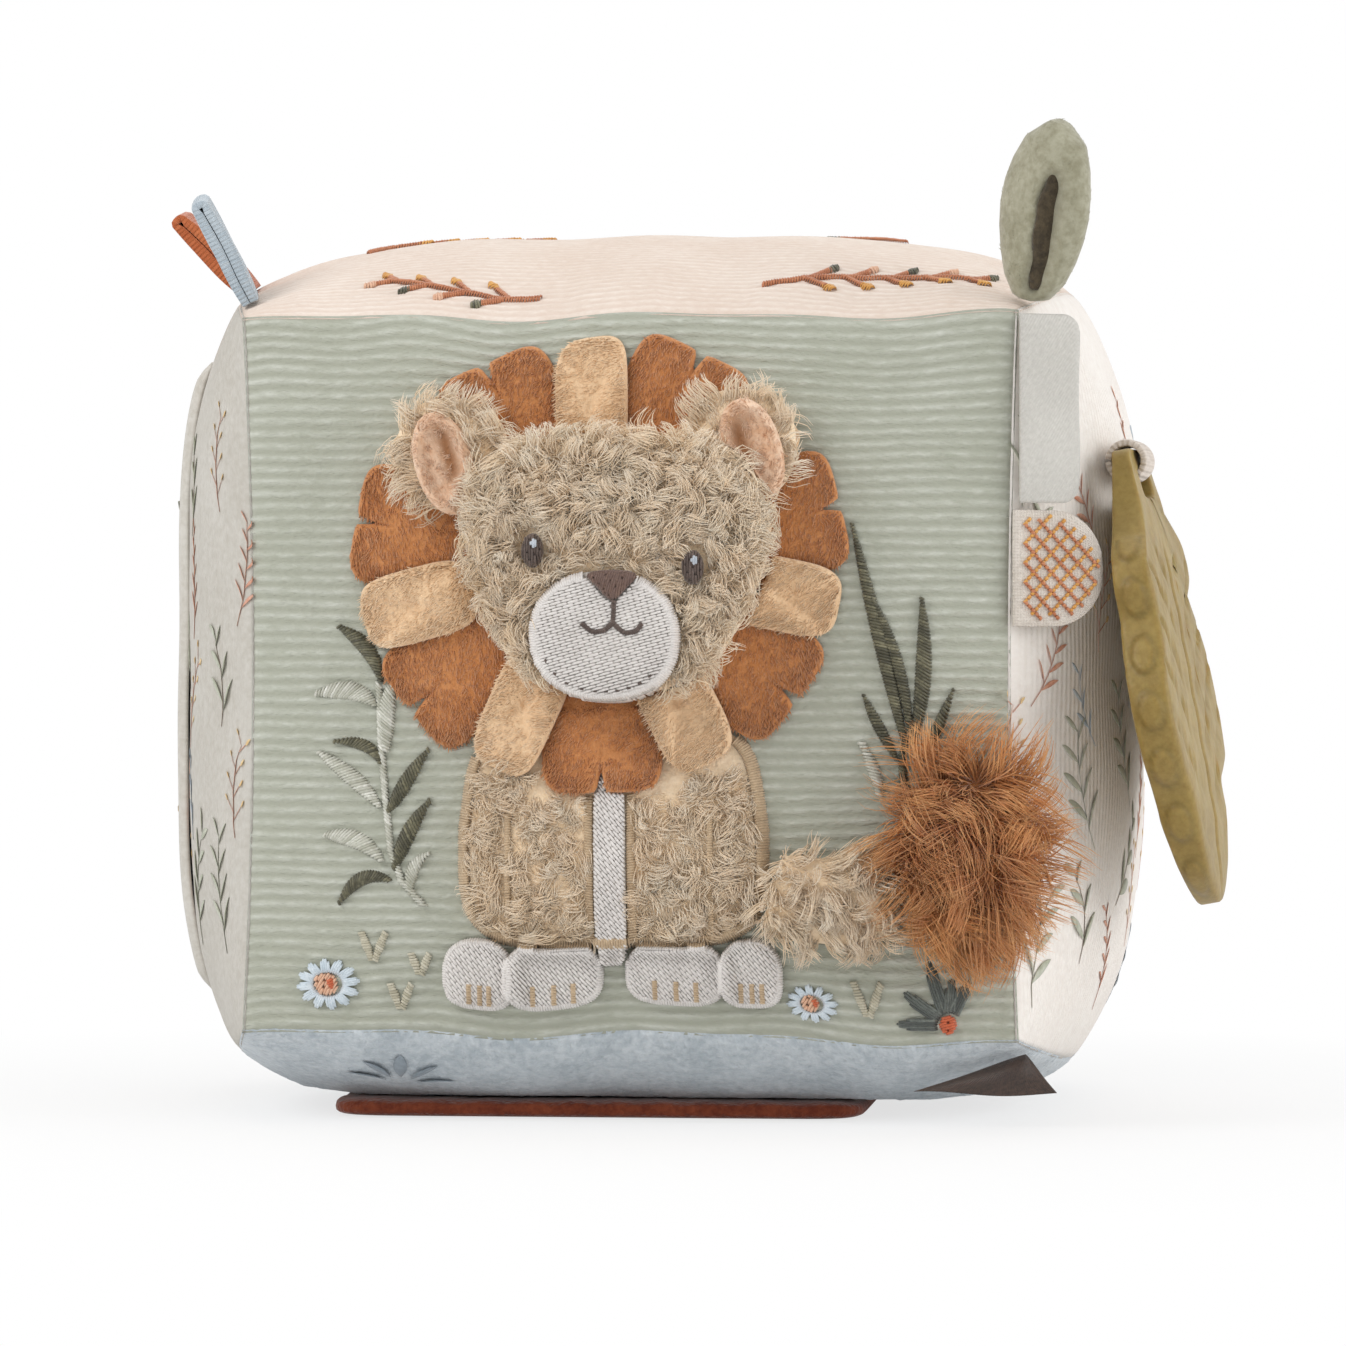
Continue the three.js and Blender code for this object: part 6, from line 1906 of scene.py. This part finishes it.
# The top's branches are sewn: clay stems, ochre buds and a few sage tips
budding = {"long": 34, "pairs": 5, "leafLong": 6.5, "leafWide": 1.8, "berries": True}
branches = [
    {**budding, "at": (-14, -52), "degrees": 165, "long": 26, "pairs": 4, "leafLong": 6.0},
    {**budding, "at": (20, -50), "degrees": 12, "bow": 0.1},
    {**budding, "at": (-44, -20), "degrees": 40, "long": 32},
    {**budding, "at": (38, -8), "degrees": 130}, {**budding, "at": (-10, 20), "degrees": 170},
    {**budding, "at": (14, 26), "degrees": 8},
]
stems, buds = [], []
for branch in branches:
    made = sprigStrokes(**branch)
    stems += made[0]
    buds += made[1]


# Short stitches across each stroke, all along it
def branchStitches(strokes, spacing):
    ends = []
    for start, bend, end, wide in strokes:
        long = np.linalg.norm(end - start)
        for t in np.arange(0.02, 1, spacing / max(long, 0.5)):
            p = (1 - t) ** 2 * start + 2 * t * (1 - t) * bend + t ** 2 * end
            way = (1 - t) * (bend - start) + t * (end - bend)
            way = way / max(np.linalg.norm(way), 1e-9)
            swell = math.sin(math.pi * min(0.97, t * 0.9 + 0.1)) if wide > 0.7 else 1
            side = np.array([-way[1], way[0]]) * max(0.45, wide / 2 * swell)
            ends.append((p - side - way * 0.25, p + side + way * 0.25))
    return ends


sewnBranches = {"top_branches": (stems, "clayThread"), "top_buds": (buds[::2], "ochreThread"),
                "top_tips": (buds[1::4], "oliveThread"), "top_pale_buds": (buds[3::4], "peachThread")}
for name, (strokes, finish) in sewnBranches.items():
    ends = branchStitches(strokes, 0.42)
    piece = sewStitches(name, ends, 0.22, finish, radius=0.23, arch=0.3, faceName="top", seed=61, sides=4)
    settle(piece, "block", "blush_rib")
print("top embroidered")

# Five strokes on the underside, spread like a fan
fan = {"at": (-37, 44), "degrees": (14, 48, 90, 132, 166), "near": 2.5, "bend": 6, "far": 9, "wide": 2.6}
strokes = []
for degrees in fan["degrees"]:
    a = math.radians(degrees)
    way, foot = np.array([math.cos(a), math.sin(a)]), np.array(fan["at"])
    strokes.append((foot + way * fan["near"], foot + (0, 1) + way * fan["bend"], foot + way * fan["far"],
                    fan["wide"]))
motif = layStrokes("bottom_motif", strokes, placeOn("bottom"), (0, 0, -1), "slateInk", lift=0.3)
settle(motif, "block", "blue_plush")
print("underside printed")

# Camera, lamps and floor
view = {"distance": 961, "azimuth": 6.0, "lens": 150.4, "shift": (0.0059, 0.0022)}
lamps = {
    "keyLamp": {"at": (-460, -440, 480), "size": 420, "power": 2.0},
    "fillLamp": {"at": (1000, -250, 350), "size": 800, "power": 4.3},
    "skyLamp": {"at": (0, 120, 1150), "size": 1100, "power": 3.0},
}
floorFade = {"From Min": 0.08, "From Max": 0.22, "To Min": 0.72, "To Max": 1.0}


def setCamera():
    turn = math.radians(view["azimuth"])
    place = Vector((view["distance"] * math.sin(turn), -view["distance"] * math.cos(turn),
                    block["middle"])) * mm
    camera = bpy.data.objects.new("camera", bpy.data.cameras.new("camera"))
    bpy.context.scene.collection.objects.link(camera)
    camera.location = place
    camera.rotation_euler = (math.radians(90), 0, turn)
    camera.data.lens = view["lens"]
    camera.data.sensor_width = 36
    camera.data.shift_x, camera.data.shift_y = view["shift"]
    camera.data.clip_start, camera.data.clip_end = 0.05, 30
    bpy.context.scene.camera = camera


def setLamps():
    for name, lamp in lamps.items():
        light = bpy.data.lights.new(name, "AREA")
        light.shape = "DISK"
        light.size = lamp["size"] * mm
        light.energy = lamp["power"]
        holder = bpy.data.objects.new(name, light)
        bpy.context.scene.collection.objects.link(holder)
        holder.location = Vector(lamp["at"]) * mm
        aim = Vector((0, 0, block["middle"] * mm)) - holder.location
        holder.rotation_euler = aim.to_track_quat("-Z", "Y").to_euler()


# 1 where a ray comes straight from the camera, a mirror or glass, else 0
def seenDirectly(tree):
    path = addNode(tree, "LightPath")
    seen = path.outputs["Is Camera Ray"]
    for ray in ("Is Glossy Ray", "Is Transmission Ray"):
        seen = addNode(tree, "Math", {"operation": "MAXIMUM"}, {0: seen, 1: path.outputs[ray]}).outputs[0]
    return seen


# The world is white to the eye and a softer light on the block
def setWorld():
    world = bpy.data.worlds.new("studio")
    bpy.context.scene.world = world
    world.use_nodes = True
    tree = world.node_tree
    soft = tree.nodes["Background"]
    soft.inputs["Color"].default_value = (1, 1, 1, 1)
    soft.inputs["Strength"].default_value = 0.55
    white = addNode(tree, "Background", {"Color": (1, 1, 1, 1), "Strength": 1.0})
    mixed = addNode(tree, "MixShader", {}, {0: seenDirectly(tree), 1: soft.outputs[0], 2: white.outputs[0]})
    tree.links.new(mixed.outputs[0], tree.nodes["World Output"].inputs["Surface"])


# The floor keeps a soft shadow near the block and is white further out
def layFloor():
    bm = bmesh.new()
    bmesh.ops.create_grid(bm, x_segments=2, y_segments=2, size=6)
    mesh = meshFrom(bm, "floor")
    tree, shader = newMaterial("whitePaperFloor", "#f4f4f4", 0.9)
    glow = addNode(tree, "Emission", {"Color": (1, 1, 1, 1), "Strength": 1.0})
    coords = addNode(tree, "TexCoord").outputs["Object"]
    far = addNode(tree, "VectorMath", {"operation": "LENGTH"}, {0: coords}).outputs["Value"]
    fade = addNode(tree, "MapRange", floorFade, {"Value": far})
    share = addNode(tree, "Math", {"operation": "MULTIPLY"}, {0: seenDirectly(tree), 1: fade.outputs[0]})
    mixed = addNode(tree, "MixShader", {}, {0: share.outputs[0], 1: shader.outputs[0], 2: glow.outputs[0]})
    tree.links.new(mixed.outputs[0], tree.nodes["Material Output"].inputs["Surface"])
    meshObject("floor", mesh, "whitePaperFloor")


setCamera()
setLamps()
setWorld()
layFloor()
bpy.context.scene.view_settings.view_transform = "Standard"
